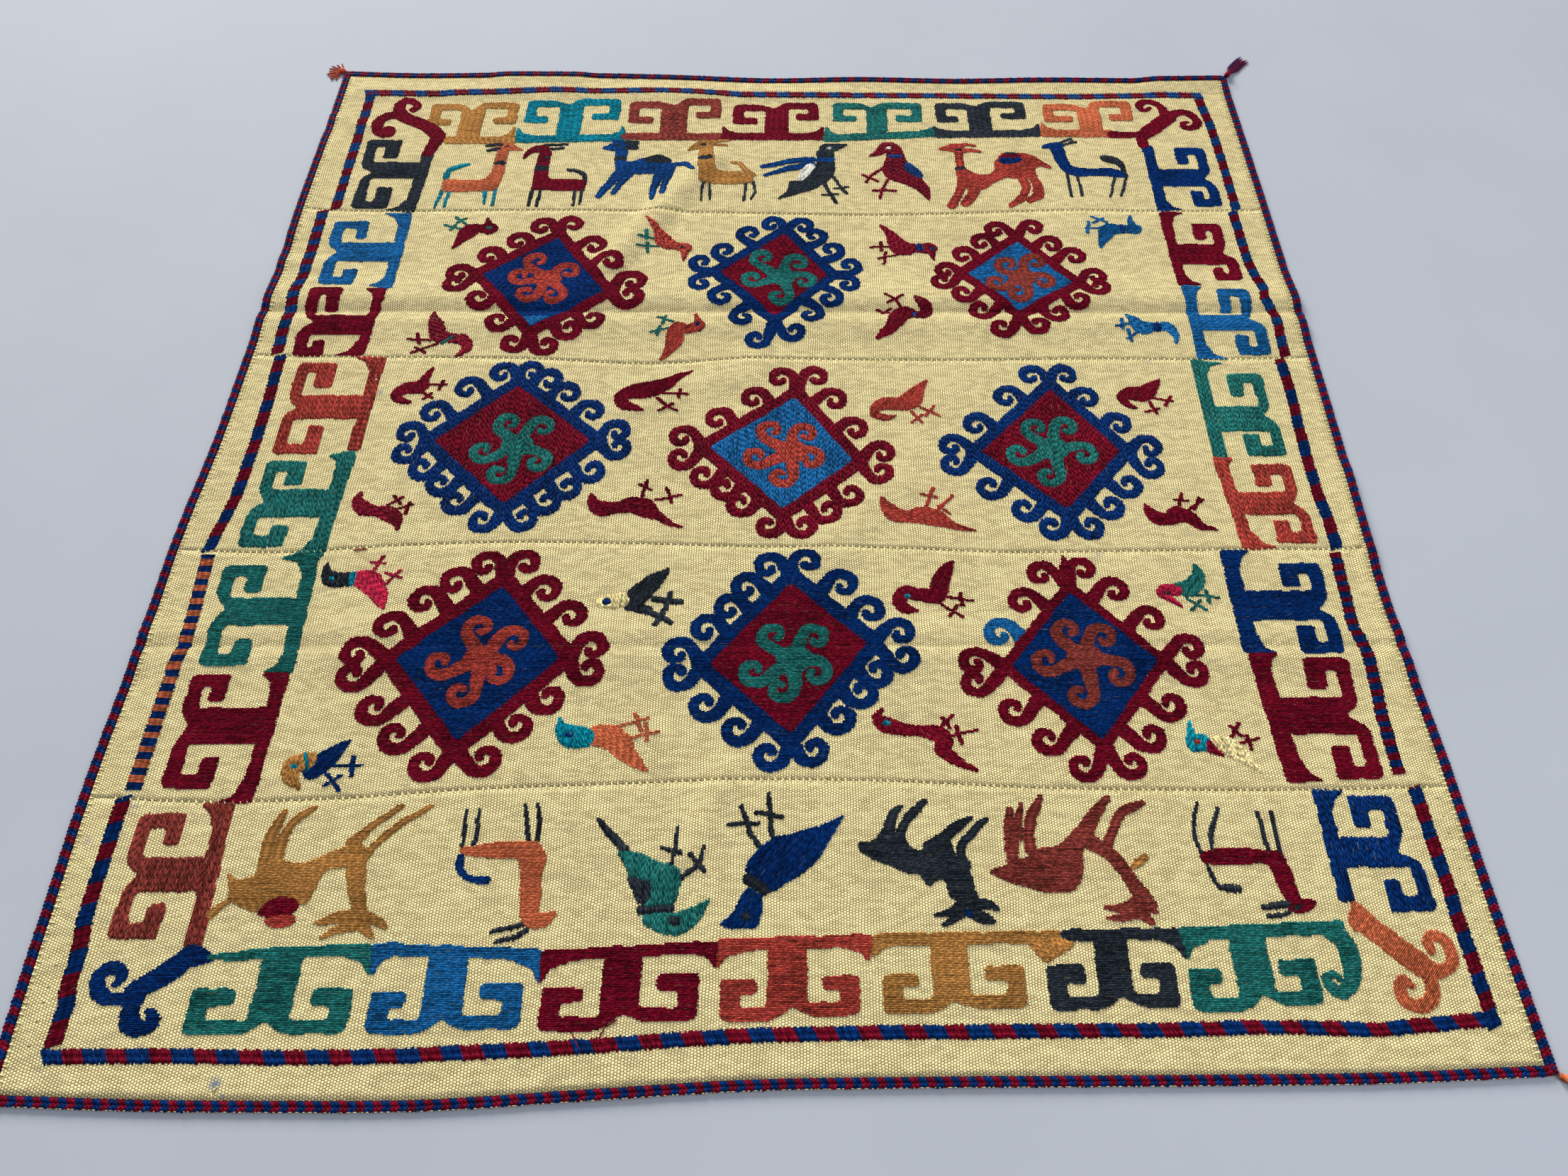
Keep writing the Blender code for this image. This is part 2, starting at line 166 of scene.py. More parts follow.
def nearest(u, v, start, end):
    """Where each place is nearest to a straight stretch, as a share of the way from start to end, and
    how far away: the place is dropped onto the line, and the foot is kept between the two ends."""
    run_u, run_v = end[0] - start[0], end[1] - start[1]
    share = ((u - start[0]) * run_u + (v - start[1]) * run_v) / (run_u**2 + run_v**2)
    share = np.clip(share, 0.0, 1.0)
    return share, np.hypot(u - start[0] - share * run_u, v - start[1] - share * run_v)


def ground_height(u, v):
    """The sum of the ridges, each its crest height times (1 - distance squared) squared, where the
    distance counts in half widths; a crease multiplies it by one less its depth near its line."""
    height = np.zeros(np.broadcast(u, v).shape)
    for _, *line, crest, half_width in RIDGES:
        away = np.minimum(nearest(u, v, line[:2], line[2:])[1] / half_width, 1.0)
        height += crest * (1 - away**2) ** 2
    for _, *line, depth, half_width in CREASES:
        away = np.minimum(nearest(u, v, line[:2], line[2:])[1] / half_width, 1.0)
        height *= 1 - depth * (1 - away) ** CREASE_SHARPNESS
    return height


def cloth_height(u, v):
    """The folds, plus a lift that grows with the square of the nearness to the cloth's border."""
    inwards = np.minimum.reduce(
        [u - side_line(-1, v), side_line(1, v) - u, cross_line(0, u) - v, v - cross_line(5, u)]
    )
    share = np.clip(1 - inwards / EDGE_LIFT_REACH, 0.0, 1.0)
    return ground_height(u, v) + EDGE_LIFT * share**2


print("highest fold:", round(float(ground_height(np.array(-0.25), np.array(0.58))) * 1000, 1), "mm")

# %% [markdown]
# ## Floor and light
# A pale floor, and the soft daylight of a big window: one large lamp low at the far end, a little to
# the left, which draws the cross creases and the relief of the stitches, a weak one on the near
# right, and a pale sky all round.

# %% Floor and light
FLOOR_HALF = 6.0
FLOOR_TONES = ((0.36, 0.38, 0.42), (0.40, 0.42, 0.46))
SKY = (0.80, 0.87, 1.00)
SKY_STRENGTH = 0.50
LAMPS = (
    # name, place, size, power, colour
    ("window", (-7.0, 17.6, 8.2), 8.5, 7600.0, (1.00, 0.97, 0.92)),
    ("fill", (2.6, -2.4, 3.0), 3.0, 60.0, (0.95, 0.97, 1.00)),
)


def fill_sockets(made, inputs):
    """Sets each input of a node to a value, or links it where the value is another node's output."""
    for key, value in inputs.items():
        if isinstance(value, bpy.types.NodeSocket):
            made.id_data.links.new(value, made.inputs[key])
        else:
            made.inputs[key].default_value = value


def node(tree, kind, inputs=None, **settings):
    """A shader node of a kind, with its settings and its inputs."""
    made = tree.nodes.new(kind)
    for name, value in settings.items():
        setattr(made, name, value)
    fill_sockets(made, inputs or {})
    return made


def maths(tree, operation, *given):
    """One Math node: the operation on the given values or outputs."""
    return node(tree, "ShaderNodeMath", dict(enumerate(given)), operation=operation).outputs[0]


def noise(tree, place, scale, detail):
    """The outputs of a Noise Texture at a place."""
    return node(tree, "ShaderNodeTexNoise", {"Vector": place, "Scale": scale, "Detail": detail}).outputs


def between(tree, share, low, high):
    """The colour that lies at a share of the way from a low one to a high one."""
    made = node(tree, "ShaderNodeValToRGB", {"Fac": share})
    for stop, colour in zip(made.color_ramp.elements, (low, high)):
        stop.color = (*colour, 1.0)
    return made.outputs["Color"]


def new_material(name):
    """A material with nodes, and its node tree."""
    made = bpy.data.materials.new(name)
    made.use_nodes = True
    return made, made.node_tree


def finish(made, inputs):
    """The material, once its shader has its inputs."""
    fill_sockets(made.node_tree.nodes["Principled BSDF"], inputs)
    return made


def floor_material():
    """A matt pale floor with a faint mottle in its colour."""
    made, tree = new_material("pale floor")
    mottle = noise(tree, node(tree, "ShaderNodeTexCoord").outputs["Object"], 3.0, 4.0)["Fac"]
    return finish(made, {"Base Color": between(tree, mottle, *FLOOR_TONES), "Roughness": 0.85})


floor_mesh = bpy.data.meshes.new("floor")
corners = [(FLOOR_HALF * x, FLOOR_HALF * y, 0) for x, y in ((-1, -1), (1, -1), (1, 1), (-1, 1))]
floor_mesh.from_pydata(corners, [], [(0, 1, 2, 3)])
floor = bpy.data.objects.new("floor", floor_mesh)
floor_mesh.materials.append(floor_material())
bpy.context.scene.collection.objects.link(floor)

world = bpy.data.worlds.new("sky")
world.use_nodes = True
sky = world.node_tree.nodes["Background"]
sky.inputs["Color"].default_value = (*SKY, 1.0)
sky.inputs["Strength"].default_value = SKY_STRENGTH
bpy.context.scene.world = world
bpy.context.scene.view_settings.view_transform = "Standard"

for name, place, size, power, colour in LAMPS:
    lamp_data = bpy.data.lights.new(name, "AREA")
    lamp_data.size = size
    lamp_data.energy = power
    lamp_data.color = colour
    lamp = bpy.data.objects.new(name, lamp_data)
    bpy.context.scene.collection.objects.link(lamp)
    backward = np.array(place) / np.linalg.norm(place)
    sideways = np.cross((0.0, 0.0, 1.0), backward)
    sideways /= np.linalg.norm(sideways)
    lamp.matrix_world = facing(sideways, np.cross(backward, sideways), backward, place)
print("lamps:", [row[0] for row in LAMPS])

# %% [markdown]
# ## The weave
# The ground is a thick plain weave. Its ribs run up the rug, and each rib is a row of small humps,
# staggered against its neighbours. A real weave of this size would need millions of faces, so it is a
# pattern in the material: a node group that turns a place on the cloth into the height of the nearest
# hump, with ribs that waver and yarns that are paler here and darker there.

# %% Weave as a node group
RIB_PITCH = 0.0039
HUMP_PITCH = 0.0037
RIB_WAVER = 0.006
YARN_A_RIB = 0.28
YARN_A_LEVEL = 0.37


def new_group(name, place, numbers, results):
    """A node group with a vector input for the place, and number inputs and outputs."""
    group = bpy.data.node_groups.new(name, "ShaderNodeTree")
    group.interface.new_socket(place, in_out="INPUT", socket_type="NodeSocketVector")
    for way, labels in (("INPUT", numbers), ("OUTPUT", results)):
        for label in labels:
            group.interface.new_socket(label, in_out=way, socket_type="NodeSocketFloat")
    return group, node(group, "NodeGroupInput").outputs


def scaled(tree, vector, factor):
    """A vector or a colour times a factor."""
    return node(tree, "ShaderNodeVectorMath", {0: vector, "Scale": factor}, operation="SCALE").outputs[0]


def weave_group():
    """Height is the square root of the product of two parabolas, one across the rib and one along the
    hump. The place is first pushed about by a smooth noise, and every second rib is moved up by half a
    hump. The yarn's tone is one chance value for each stretch of three or four ribs side by side."""
    group, ends = new_group("Plain weave", "Cloth place", ("Rib pitch", "Hump pitch"),
                            ("Height", "Yarn tone"))
    place = ends["Cloth place"]
    shift = node(group, "ShaderNodeVectorMath",
                 {0: noise(group, place, 28.0, 2.0)["Color"], 1: (0.5, 0.5, 0.5)}, operation="SUBTRACT")
    moved = node(group, "ShaderNodeVectorMath", {0: place, 1: scaled(group, shift.outputs[0], RIB_WAVER)},
                 operation="ADD")
    parts = node(group, "ShaderNodeSeparateXYZ", {0: moved.outputs[0]}).outputs
    rib = maths(group, "DIVIDE", parts["X"], ends["Rib pitch"])
    odd = maths(group, "MODULO", maths(group, "ABSOLUTE", maths(group, "FLOOR", rib)), 2.0)
    hump = maths(group, "ADD", maths(group, "DIVIDE", parts["Y"], ends["Hump pitch"]),
                 maths(group, "MULTIPLY", odd, 0.5))
    heights = []
    for measure in (rib, hump):
        off = maths(group, "MULTIPLY_ADD", maths(group, "FRACT", measure), 2.0, -1.0)
        heights.append(maths(group, "SUBTRACT", 1.0, maths(group, "MULTIPLY", off, off)))
    height = maths(group, "POWER", maths(group, "MULTIPLY", *heights), 0.50)
    level = maths(group, "FLOOR", hump)
    along = maths(group, "ADD", maths(group, "MULTIPLY", rib, YARN_A_RIB),
                  maths(group, "MULTIPLY", level, YARN_A_LEVEL))
    cell = node(group, "ShaderNodeCombineXYZ", {0: maths(group, "FLOOR", along), 1: level})
    tone = node(group, "ShaderNodeTexWhiteNoise", {"Vector": cell.outputs[0]}, noise_dimensions="2D")
    node(group, "NodeGroupOutput", {"Height": height, "Yarn tone": tone.outputs["Value"]},
         is_active_output=True)
    return group


WEAVE = weave_group()
print("weave:", RIB_PITCH * 1000, "x", HUMP_PITCH * 1000, "mm")

# %% [markdown]
# ## Cream cloth
# The cream wool was never quite even: single yarns are paler or darker, broad bands changed with the
# batch of yarn, handling greyed it, and drops of dye left a few faint blue-grey specks. Each of these
# is one small part of the material, on top of the weave.

# %% Cream cloth material
CLOTH_LIGHT = (0.95, 0.79, 0.395)
CLOTH_PAINTED_GAP_SHADE = (0.13, 0.09, 0.03)
STAIN = (0.20, 0.24, 0.27)
BAND_STRETCH = (0.6, 16.0, 1.0)
BAND_TONES = (0.87, 1.13)
CLOUD_TONES = (0.93, 1.07)
YARN_TONES = (0.81, 1.19)
CLOTH_ROUGHNESS = (0.98, 0.86)
WEAVE_RELIEF = 0.0014


def ranged(tree, value, low, high, reach=1.0):
    """A value from 0 to the reach turned into one from low to high."""
    given = {"Value": value, "From Max": reach, "To Min": low, "To Max": high}
    return node(tree, "ShaderNodeMapRange", given).outputs[0]


def mixed(tree, share, first, second):
    """One colour passing into another by a share."""
    return node(tree, "ShaderNodeMix", {"Factor": share, "A": first, "B": second},
                data_type="RGBA").outputs["Result"]


def relief(tree, height, distance, strength=1.0):
    """The normal of a surface that rises by the distance as the height goes from 0 to 1."""
    given = {"Height": height, "Distance": distance, "Strength": strength}
    return node(tree, "ShaderNodeBump", given).outputs["Normal"]


def cloth_material(name, specks):
    """Colour goes from painted shade between the humps to the cream's own colour on them, times a band
    tone, a cloudy tone and a single-yarn tone; specks are soft round spots broken up by noise."""
    made, tree = new_material(name)
    place = node(tree, "ShaderNodeUVMap", uv_map="cloth").outputs["UV"]
    weave = node(tree, "ShaderNodeGroup", node_tree=WEAVE)
    fill_sockets(weave, {"Cloth place": place, "Rib pitch": RIB_PITCH, "Hump pitch": HUMP_PITCH})
    height = weave.outputs["Height"]
    # Painted shade: the cloth is darkened in the hollows between the humps of the weave.
    base = mixed(tree, height, (*CLOTH_PAINTED_GAP_SHADE, 1.0), (*CLOTH_LIGHT, 1.0))
    broad = node(tree, "ShaderNodeMapping", {"Vector": place, "Scale": BAND_STRETCH}).outputs[0]
    tone = maths(tree, "MULTIPLY", ranged(tree, noise(tree, broad, 3.0, 3.0)["Fac"], *BAND_TONES),
                 ranged(tree, noise(tree, place, 7.0, 4.0)["Fac"], *CLOUD_TONES))
    tone = maths(tree, "MULTIPLY", tone, ranged(tree, weave.outputs["Yarn tone"], *YARN_TONES))
    colour = scaled(tree, base, tone)
    fleck = noise(tree, place, 160.0, 2.0)["Fac"]
    for u, v, radius, strength in specks:
        middle = (u / 1000, v / 1000, 0.0)
        away = node(tree, "ShaderNodeVectorMath", {0: place, 1: middle}, operation="DISTANCE")
        soft = ranged(tree, away.outputs["Value"], strength, 0.0, radius / 1000)
        colour = mixed(tree, maths(tree, "MULTIPLY", soft, fleck), colour, (*STAIN, 1.0))
    return finish(made, {
        "Base Color": colour, "Roughness": ranged(tree, height, *CLOTH_ROUGHNESS),
        "Normal": relief(tree, height, WEAVE_RELIEF), "Specular IOR Level": 0.12,
    })


# %% [markdown]
# ## The five strips
# Each strip is a grid of places: shares across and up the strip go to a place on the rug, and its
# height is that of the folds. A second grid a cloth's thickness higher and a rim between them close
# the sheet. Rows gather on the creases so that they stay crisp.

# %% Strips of cloth
COLUMN_PITCH = 0.0115
ROW_PITCH = 0.0092
CREASE_CLEAR = 0.033
CREASE_TILT = 0.06
CREASE_ROWS = (-0.030, -0.022, -0.016, -0.011, -0.0065, -0.003, 0.0, 0.003, 0.0065, 0.011, 0.016,
               0.022, 0.030)
WAVE_FADE = 4
SPECKS = {
    # strip: (u, v, radius, strength), in millimetres
    1: ((735, 905, 12, 1.0), (715, 590, 9, 0.8), (-760, 610, 7, 0.5)),
    2: ((705, 527, 8, 0.9), (-240, 400, 8, 0.3)),
    3: ((645, 180, 9, 0.9), (-707, 109, 8, 1.6), (-825, -165, 6, 1.2)),
    4: ((498, -238, 9, 0.9), (-776, -255, 7, 0.5)),
    5: ((-945, -697, 10, 0.9), (-897, -646, 8, 0.8), (-693, -1009, 11, 2.2), (-680, -1023, 5, 1.4),
        (-910, -990, 6, 0.6)),
}


def rows_along(bottom, top):
    """Shares of the way up where the rows lie: an even pitch, with closer rows on a crease."""
    count = int(round((top - bottom) / ROW_PITCH))
    even = np.linspace(bottom, top, count + 1)
    kept = list(even)
    for _, _, from_v, _, to_v, _, _ in CREASES:
        middle = (from_v + to_v) / 2
        if bottom < middle < top:
            near = abs(even - middle) < CREASE_CLEAR
            kept = list(even[~near]) + [middle + step for step in CREASE_ROWS]
    return (np.sort(kept) - bottom) / (top - bottom)


def strip_places(number):
    """Grid of (u, v): straight rows, bent towards the strip's two curved ends with a share that
    fades fast away from them, and tilted along a slanting crease near it."""
    top_middle = np.mean(CROSS_LINES[number - 1])
    bottom_middle = np.mean(CROSS_LINES[number])
    columns = int(round((ACROSS[-1] - ACROSS[0]) / COLUMN_PITCH))
    across = np.linspace(0.0, 1.0, columns + 1)[None, :]
    up = rows_along(bottom_middle, top_middle)[:, None]
    top_gap = GAP / 2 if number > 1 else 0.0
    bottom_gap = GAP / 2 if number < 5 else 0.0
    even = bottom_middle + up * (top_middle - bottom_middle)
    v = even + 0 * across
    for _ in range(3):
        left = side_line(-1, v)
        u = left + across * (side_line(1, v) - left)
        top_wave = cross_line(number - 1, u) - top_gap - top_middle
        bottom_wave = cross_line(number, u) + bottom_gap - bottom_middle
        v = even + top_wave * up**WAVE_FADE + bottom_wave * (1 - up) ** WAVE_FADE
        for _, from_u, from_v, to_u, to_v, _, _ in CREASES:
            middle = (from_v + to_v) / 2
            tilt = (to_v - from_v) / (to_u - from_u)
            v = v + tilt * u * np.exp(-(((even - middle) / CREASE_TILT) ** 2))
    return u, v


def mesh_object(name, points, faces, material, map_name, maps):
    """An object of points (n, 3) and faces, whole rows of point numbers, with a map that has a place
    for every corner of every face."""
    mesh = bpy.data.meshes.new(name)
    mesh.vertices.add(len(points))
    mesh.vertices.foreach_set("co", points.ravel())
    mesh.loops.add(faces.size)
    mesh.loops.foreach_set("vertex_index", faces.ravel())
    mesh.polygons.add(len(faces))
    mesh.polygons.foreach_set("loop_start", np.arange(0, faces.size, faces.shape[1]))
    mesh.update(calc_edges=True)
    mesh.polygons.foreach_set("use_smooth", np.ones(len(faces), bool))
    mesh.uv_layers.new(name=map_name).data.foreach_set("uv", maps.ravel())
    mesh.materials.append(material)
    made = bpy.data.objects.new(name, mesh)
    bpy.context.scene.collection.objects.link(made)
    return made


def closed_sheet(name, lower, upper, places, material):
    """Two grids of points, lower and upper, joined by a rim into one closed mesh. Both grids carry
    the same map, the place on the cloth."""
    rows, columns = lower.shape[:2]
    index = np.arange(rows * columns).reshape(rows, columns)
    a, b = index[:-1, :-1].ravel(), index[:-1, 1:].ravel()
    c, d = index[1:, 1:].ravel(), index[1:, :-1].ravel()
    ring = np.r_[index[0, :-1], index[:-1, -1], index[-1, :0:-1], index[:0:-1, 0]]
    after = np.roll(ring, -1)
    high = rows * columns
    faces = np.vstack([
        np.stack([a, b, c, d], axis=1) + high,
        np.stack([d, c, b, a], axis=1),
        np.stack([ring, after, after + high, ring + high], axis=1),
    ])
    points = np.vstack([lower.reshape(-1, 3), upper.reshape(-1, 3)])
    maps = np.vstack([places.reshape(-1, 2)] * 2)[faces.ravel()]
    return mesh_object(name, points, faces, material, "cloth", maps)


STRIPS = {}
for number in range(1, 6):
    u, v = strip_places(number)
    height = cloth_height(u, v)
    strip = closed_sheet(f"cloth_strip_{number}", laid(u, v, height), laid(u, v, height + CLOTH_THICK),
                         np.stack([u, v], axis=-1), cloth_material(f"cream cloth {number}", SPECKS[number]))
    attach(strip, "root")
    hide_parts(f"panel_{number}")
    STRIPS[number] = strip
    print(strip.name, "faces", len(strip.data.polygons))

# %% [markdown]
# ## Wool colours
# All the embroidery is done with a small set of dyed wools. Hand-dyed wool takes the colour unevenly, so
# each stitch is one of sixteen tones of its wool, from dark to light. Colours are written as a dyer's
# chart and turned into the linear numbers that a shader needs.

# %% Wool chart
TONES = 16
TONE_DARKEST = 0.42
TONE_LIGHTEST = 1.62
WOOLS = {
    "crimson": "68081e",
    "navy": "03295e",
    "blue": "0c3a70",
    "light blue": "185b8e",
    "teal": "1f655f",
    "turquoise": "057586",
    "rust": "9a3a30",
    "dark rust": "7f362e",
    "orange": "b8613f",
    "coral": "b04a36",
    "ochre": "aa783e",
    "charcoal": "272d34",
    "cream": "e6d49a",
    "magenta": "a01c3a",
    "white": "e4e0cf",
    # painted shade, for the seams' joints and the needle holes
    "shade in holes and seams": "4c4020",
}
WOOL_NUMBER = {name: number for number, name in enumerate(WOOLS)}


def linear(chart):
    """Each of red, green and blue as a share of 255, then the power curve that screens use undone."""
    shares = np.array([int(chart[i:i + 2], 16) for i in (0, 2, 4)]) / 255
    return np.where(shares < 0.04045, shares / 12.92, ((shares + 0.055) / 1.055) ** 2.4)


WOOL_COLOURS = np.array([linear(chart) for chart in WOOLS.values()])


def toned_colour(wool, tone):
    """The wool's colour times a factor that rises evenly from the darkest tone to the lightest."""
    factor = TONE_DARKEST + (TONE_LIGHTEST - TONE_DARKEST) * tone / (TONES - 1)
    return np.clip(WOOL_COLOURS[wool] * factor[:, None], 0.0, 1.0)


print("wools:", len(WOOLS), "tones:", TONES)

# %% [markdown]
# ## Wool yarn material
# Seen close, a stitch is a strand of two plies twisted together. The material has painted shade
# where it dives into the cloth and along its sides, a painted highlight along its crest, and painted
# light and shade along the twist of its plies. It reads this from the stitch's own map, on which each
# tone of each wool has a small square: along it runs the length of the stitch, up it the way round it.

# %% Yarn as a node group and a material
PAINTED_CREST_HIGHLIGHT = 1.35
SIDE_SHADE = 1.25
END_SHADE = 0.40
PLY_SLANT = 0.4
PAINTED_PLY_STREAK = 0.60
WOOL_ROUGHNESS = (0.86, 0.58)


def yarn_group():
    """Inside a square of the map, across is 0 to 1 round the strand and along is 0 to 1 down it.
    Painted shade falls with the square of the distance from the middle, where a painted highlight
    lies; the ply lines are a sine of both, painted lighter and darker."""
    group, ends = new_group("Twisted yarn", "Map", ("Squares", "Plies"), ("Shade", "Height"))
    parts = node(group, "ShaderNodeSeparateXYZ", {0: scaled(group, ends["Map"], ends["Squares"])}).outputs
    along = maths(group, "FRACT", parts["X"])
    across = maths(group, "FRACT", parts["Y"])
    side = maths(group, "MULTIPLY_ADD", across, 2.0, -1.0)
    end = maths(group, "MULTIPLY_ADD", along, 2.0, -1.0)
    # Painted shade along the sides and at the ends, below a painted highlight on the crest.
    painted_side_shade = maths(group, "MULTIPLY", maths(group, "MULTIPLY", side, side), SIDE_SHADE)
    painted_end_shade = maths(group, "MULTIPLY", maths(group, "POWER", maths(group, "ABSOLUTE", end), 4.0), END_SHADE)
    shade = maths(group, "SUBTRACT", PAINTED_CREST_HIGHLIGHT, maths(group, "ADD", painted_side_shade, painted_end_shade))
    turns = maths(group, "MULTIPLY", along, ends["Plies"])
    turns = maths(group, "ADD", turns, maths(group, "MULTIPLY", across, PLY_SLANT))
    twist = maths(group, "SINE", maths(group, "MULTIPLY", turns, 2 * np.pi))
    height = maths(group, "MULTIPLY_ADD", twist, 0.5, noise(group, ends["Map"], 900.0, 2.0)["Fac"])
    # Painted light and shade along the twist of the plies and on single fibres.
    painted_ply_streak = maths(group, "MULTIPLY", maths(group, "SUBTRACT", height, 0.5), PAINTED_PLY_STREAK)
    shade = maths(group, "MULTIPLY", shade, maths(group, "ADD", painted_ply_streak, 1.0))
    node(group, "NodeGroupOutput", {"Shade": shade, "Height": height}, is_active_output=True)
    return group


YARN = yarn_group()


def wool_material(name, plies, ply_height):
    """Base colour is the tone stored on the stitches times the yarn's painted shade and highlight; the
    plies are a bump.
    """
    made, tree = new_material(name)
    place = node(tree, "ShaderNodeUVMap", uv_map="OFBake").outputs["UV"]
    yarn = node(tree, "ShaderNodeGroup", node_tree=YARN)
    fill_sockets(yarn, {"Map": place, "Squares": float(TONES), "Plies": plies})
    dyed = node(tree, "ShaderNodeAttribute", attribute_name="dye").outputs["Color"]
    height = yarn.outputs["Height"]
    return finish(made, {
        "Base Color": scaled(tree, dyed, yarn.outputs["Shade"]),
        "Roughness": ranged(tree, height, *WOOL_ROUGHNESS),
        "Normal": relief(tree, height, ply_height, 0.7), "Specular IOR Level": 0.04,
    })


EMBROIDERY_WOOL = wool_material("embroidery wool", 2.0, 0.0004)
print("materials:", len(bpy.data.materials))

# %% [markdown]
# ## Drawing with strokes and outlines
# A needleworker first draws the figure, then fills it. Here a figure is drawn with two kinds of
# shape: a stroke, which is a path whose half width is given at each point, and an outline. Both are
# turned into one number for each place on the cloth: how far outside the shape it lies, negative
# inside. That makes it easy to fill, to join shapes, and to keep one colour out of another.

# %% Distance to strokes and outlines
FAR = 40.0


def to_stroke(u, v, points):
    """For each stretch of the path, the distance to the straight line less the half width, which
    changes evenly along it; the smallest over all stretches counts."""
    best = np.full(u.shape, FAR)
    for start, end in zip(points[:-1], points[1:]):
        share, away = nearest(u, v, start, end)
        np.minimum(best, away - start[2] - share * (end[2] - start[2]), out=best)
    return best


def to_outline(u, v, points):
    """The distance to the nearest side, taken as negative where a line from the place to the right
    crosses the sides an odd number of times."""
    best = np.full(u.shape, FAR)
    inside = np.zeros(u.shape, bool)
    for (au, av), (bu, bv) in zip(points, points[1:] + points[:1]):
        np.minimum(best, nearest(u, v, (au, av), (bu, bv))[1], out=best)
        if av != bv:
            inside ^= ((av > v) != (bv > v)) & (u < au + (v - av) * (bu - au) / (bv - av))
    return np.where(inside, -best, best)


def shape_box(shape):
    """Lowest and highest u and v of a shape, with its half widths."""
    points = np.array(shape, float)
    half = points[:, 2:].max() if points.shape[1] == 3 else 0.0
    return points[:, :2].min(axis=0) - half, points[:, :2].max(axis=0) + half


def to_shapes(u, v, shapes):
    """The smallest distance over the shapes; each is only worked out near its own box."""
    best = np.full(u.shape, FAR)
    for shape in shapes:
        low, high = shape_box(shape)
        near = (u > low[0] - 4) & (u < high[0] + 4) & (v > low[1] - 4) & (v < high[1] + 4)
        if near.any():
            measure = to_stroke if len(shape[0]) == 3 else to_outline
            best[near] = np.minimum(best[near], measure(u[near], v[near], shape))
    return best


origin = np.zeros(1)
print("distance at a stroke's middle:", to_stroke(origin, origin, [(-9, 0, 5), (9, 0, 5)])[0])

# %% [markdown]
# ## Filling with stitches
# The figures are filled with rows of short stitches laid side by side, most of them running across
# the rug. A row is a straight line over the figure. Where it enters and leaves the figure a run
# begins and ends, a little unevenly, as the needle never comes up in quite the same place. A run is
# cut into stitches, and the cuts are moved from row to row, like the joints in brickwork.

# %% Figures and stitches kept
SOFT_REACH = 4.0
WAVER = 0.55
TINY = 1e-9
chance =np.random.default_rng(11)
LAYERS = []
STITCHES = []


def direction(degrees):
    """The direction of an angle, as one step across and up."""
    return np.array([np.cos(np.radians(degrees)), np.sin(np.radians(degrees))])


def soften(points):
    """An outline with each corner cut off: two points take its place, a soft reach back along both
    of its sides, or less where a side is short."""
    ring = np.array(points, float)
    cut = []
    for other in (np.roll(ring, 1, axis=0), np.roll(ring, -1, axis=0)):
        run = other - ring
        length = np.hypot(*run.T)[:, None] + TINY
        cut.append(ring + run / length * np.minimum(SOFT_REACH, 0.30 * length))
    return [tuple(p) for p in np.stack(cut, axis=1).reshape(-1, 2).tolist()]


def flowing(points):
    """A stroke carried smoothly through its points, by the length travelled; those of up to three
    points stay as they are, and spirals too, which are smooth already."""
    if not 4 <= len(points) <= 12:
        return list(points)
    path = np.array(points, float)
    travelled = np.r_[0.0, np.cumsum(np.hypot(*np.diff(path[:, :2], axis=0).T))]
    at = np.linspace(0.0, travelled[-1], 3 * len(path) - 2)
    carried = np.stack([smooth_through(travelled, column, at) for column in path.T], axis=1)
    return [tuple(p) for p in carried.tolist()]


def waver(u, v):
    """How far the hand strays from the drawn line: two slow waves in each direction."""
    across = np.sin(u / 7.9 + v / 13.1) + 0.7 * np.sin(v / 6.1 - u / 17.3)
    up = np.sin(v / 8.3 - u / 11.7) + 0.7 * np.sin(u / 5.7 + v / 19.1)
    return u + WAVER * across, v + WAVER * up


def layer(wool, shapes, angle=0.0):
    """Adds one figure or part of one: its wool, its shapes and the way its stitches run."""
    shapes = [flowing(shape) if len(shape[0]) == 3 else soften(shape) for shape in shapes]
    boxes = [shape_box(shape) for shape in shapes]
    low = np.min([box[0] for box in boxes], axis=0)
    high = np.max([box[1] for box in boxes], axis=0)
    LAYERS.append((wool, shapes, angle, low, high))


def draw(table):
    """Adds the figures of a table: in each row a wool, the way its stitches run, and the shapes."""
    for wool, angle, *shapes in table:
        layer(wool, shapes, angle)


def add_stitches(u0, v0, u1, v1, wool, tone, width):
    """Keeps stitches from (u0, v0) to (u1, v1) with their wool, tone from 0 to 1 and width."""
    wools = np.full(len(u0), WOOL_NUMBER[wool]) if isinstance(wool, str) else wool
    steps = np.clip(np.rint(tone * (TONES - 1)), 0, TONES - 1)
    widths = np.full(len(u0), width, float)
    STITCHES.append(np.stack([u0, v0, u1, v1, wools, steps, widths], axis=1))


# %% Rows of stitches
ROW_STEP = 2.2
ROW_START = 0.31
SAMPLE_STEP = 1.0
STITCH_LENGTH = 12.0
STITCH_OVERLAP = 1.1
STITCH_FATNESS = 1.28
BRICK_SHIFTS = np.array([0.50, 0.20, 0.75, 0.35])
SHORTEST_RUN = 1.6
UNEVEN_END = 0.80
SLIP = 0.16
CLOUD_TONE = 0.09
ROW_TONE = 0.08
STITCH_TONE = 0.24
EVEN_WOOLS = {"ochre": 0.12, "orange": 0.13, "cream": 0.16}


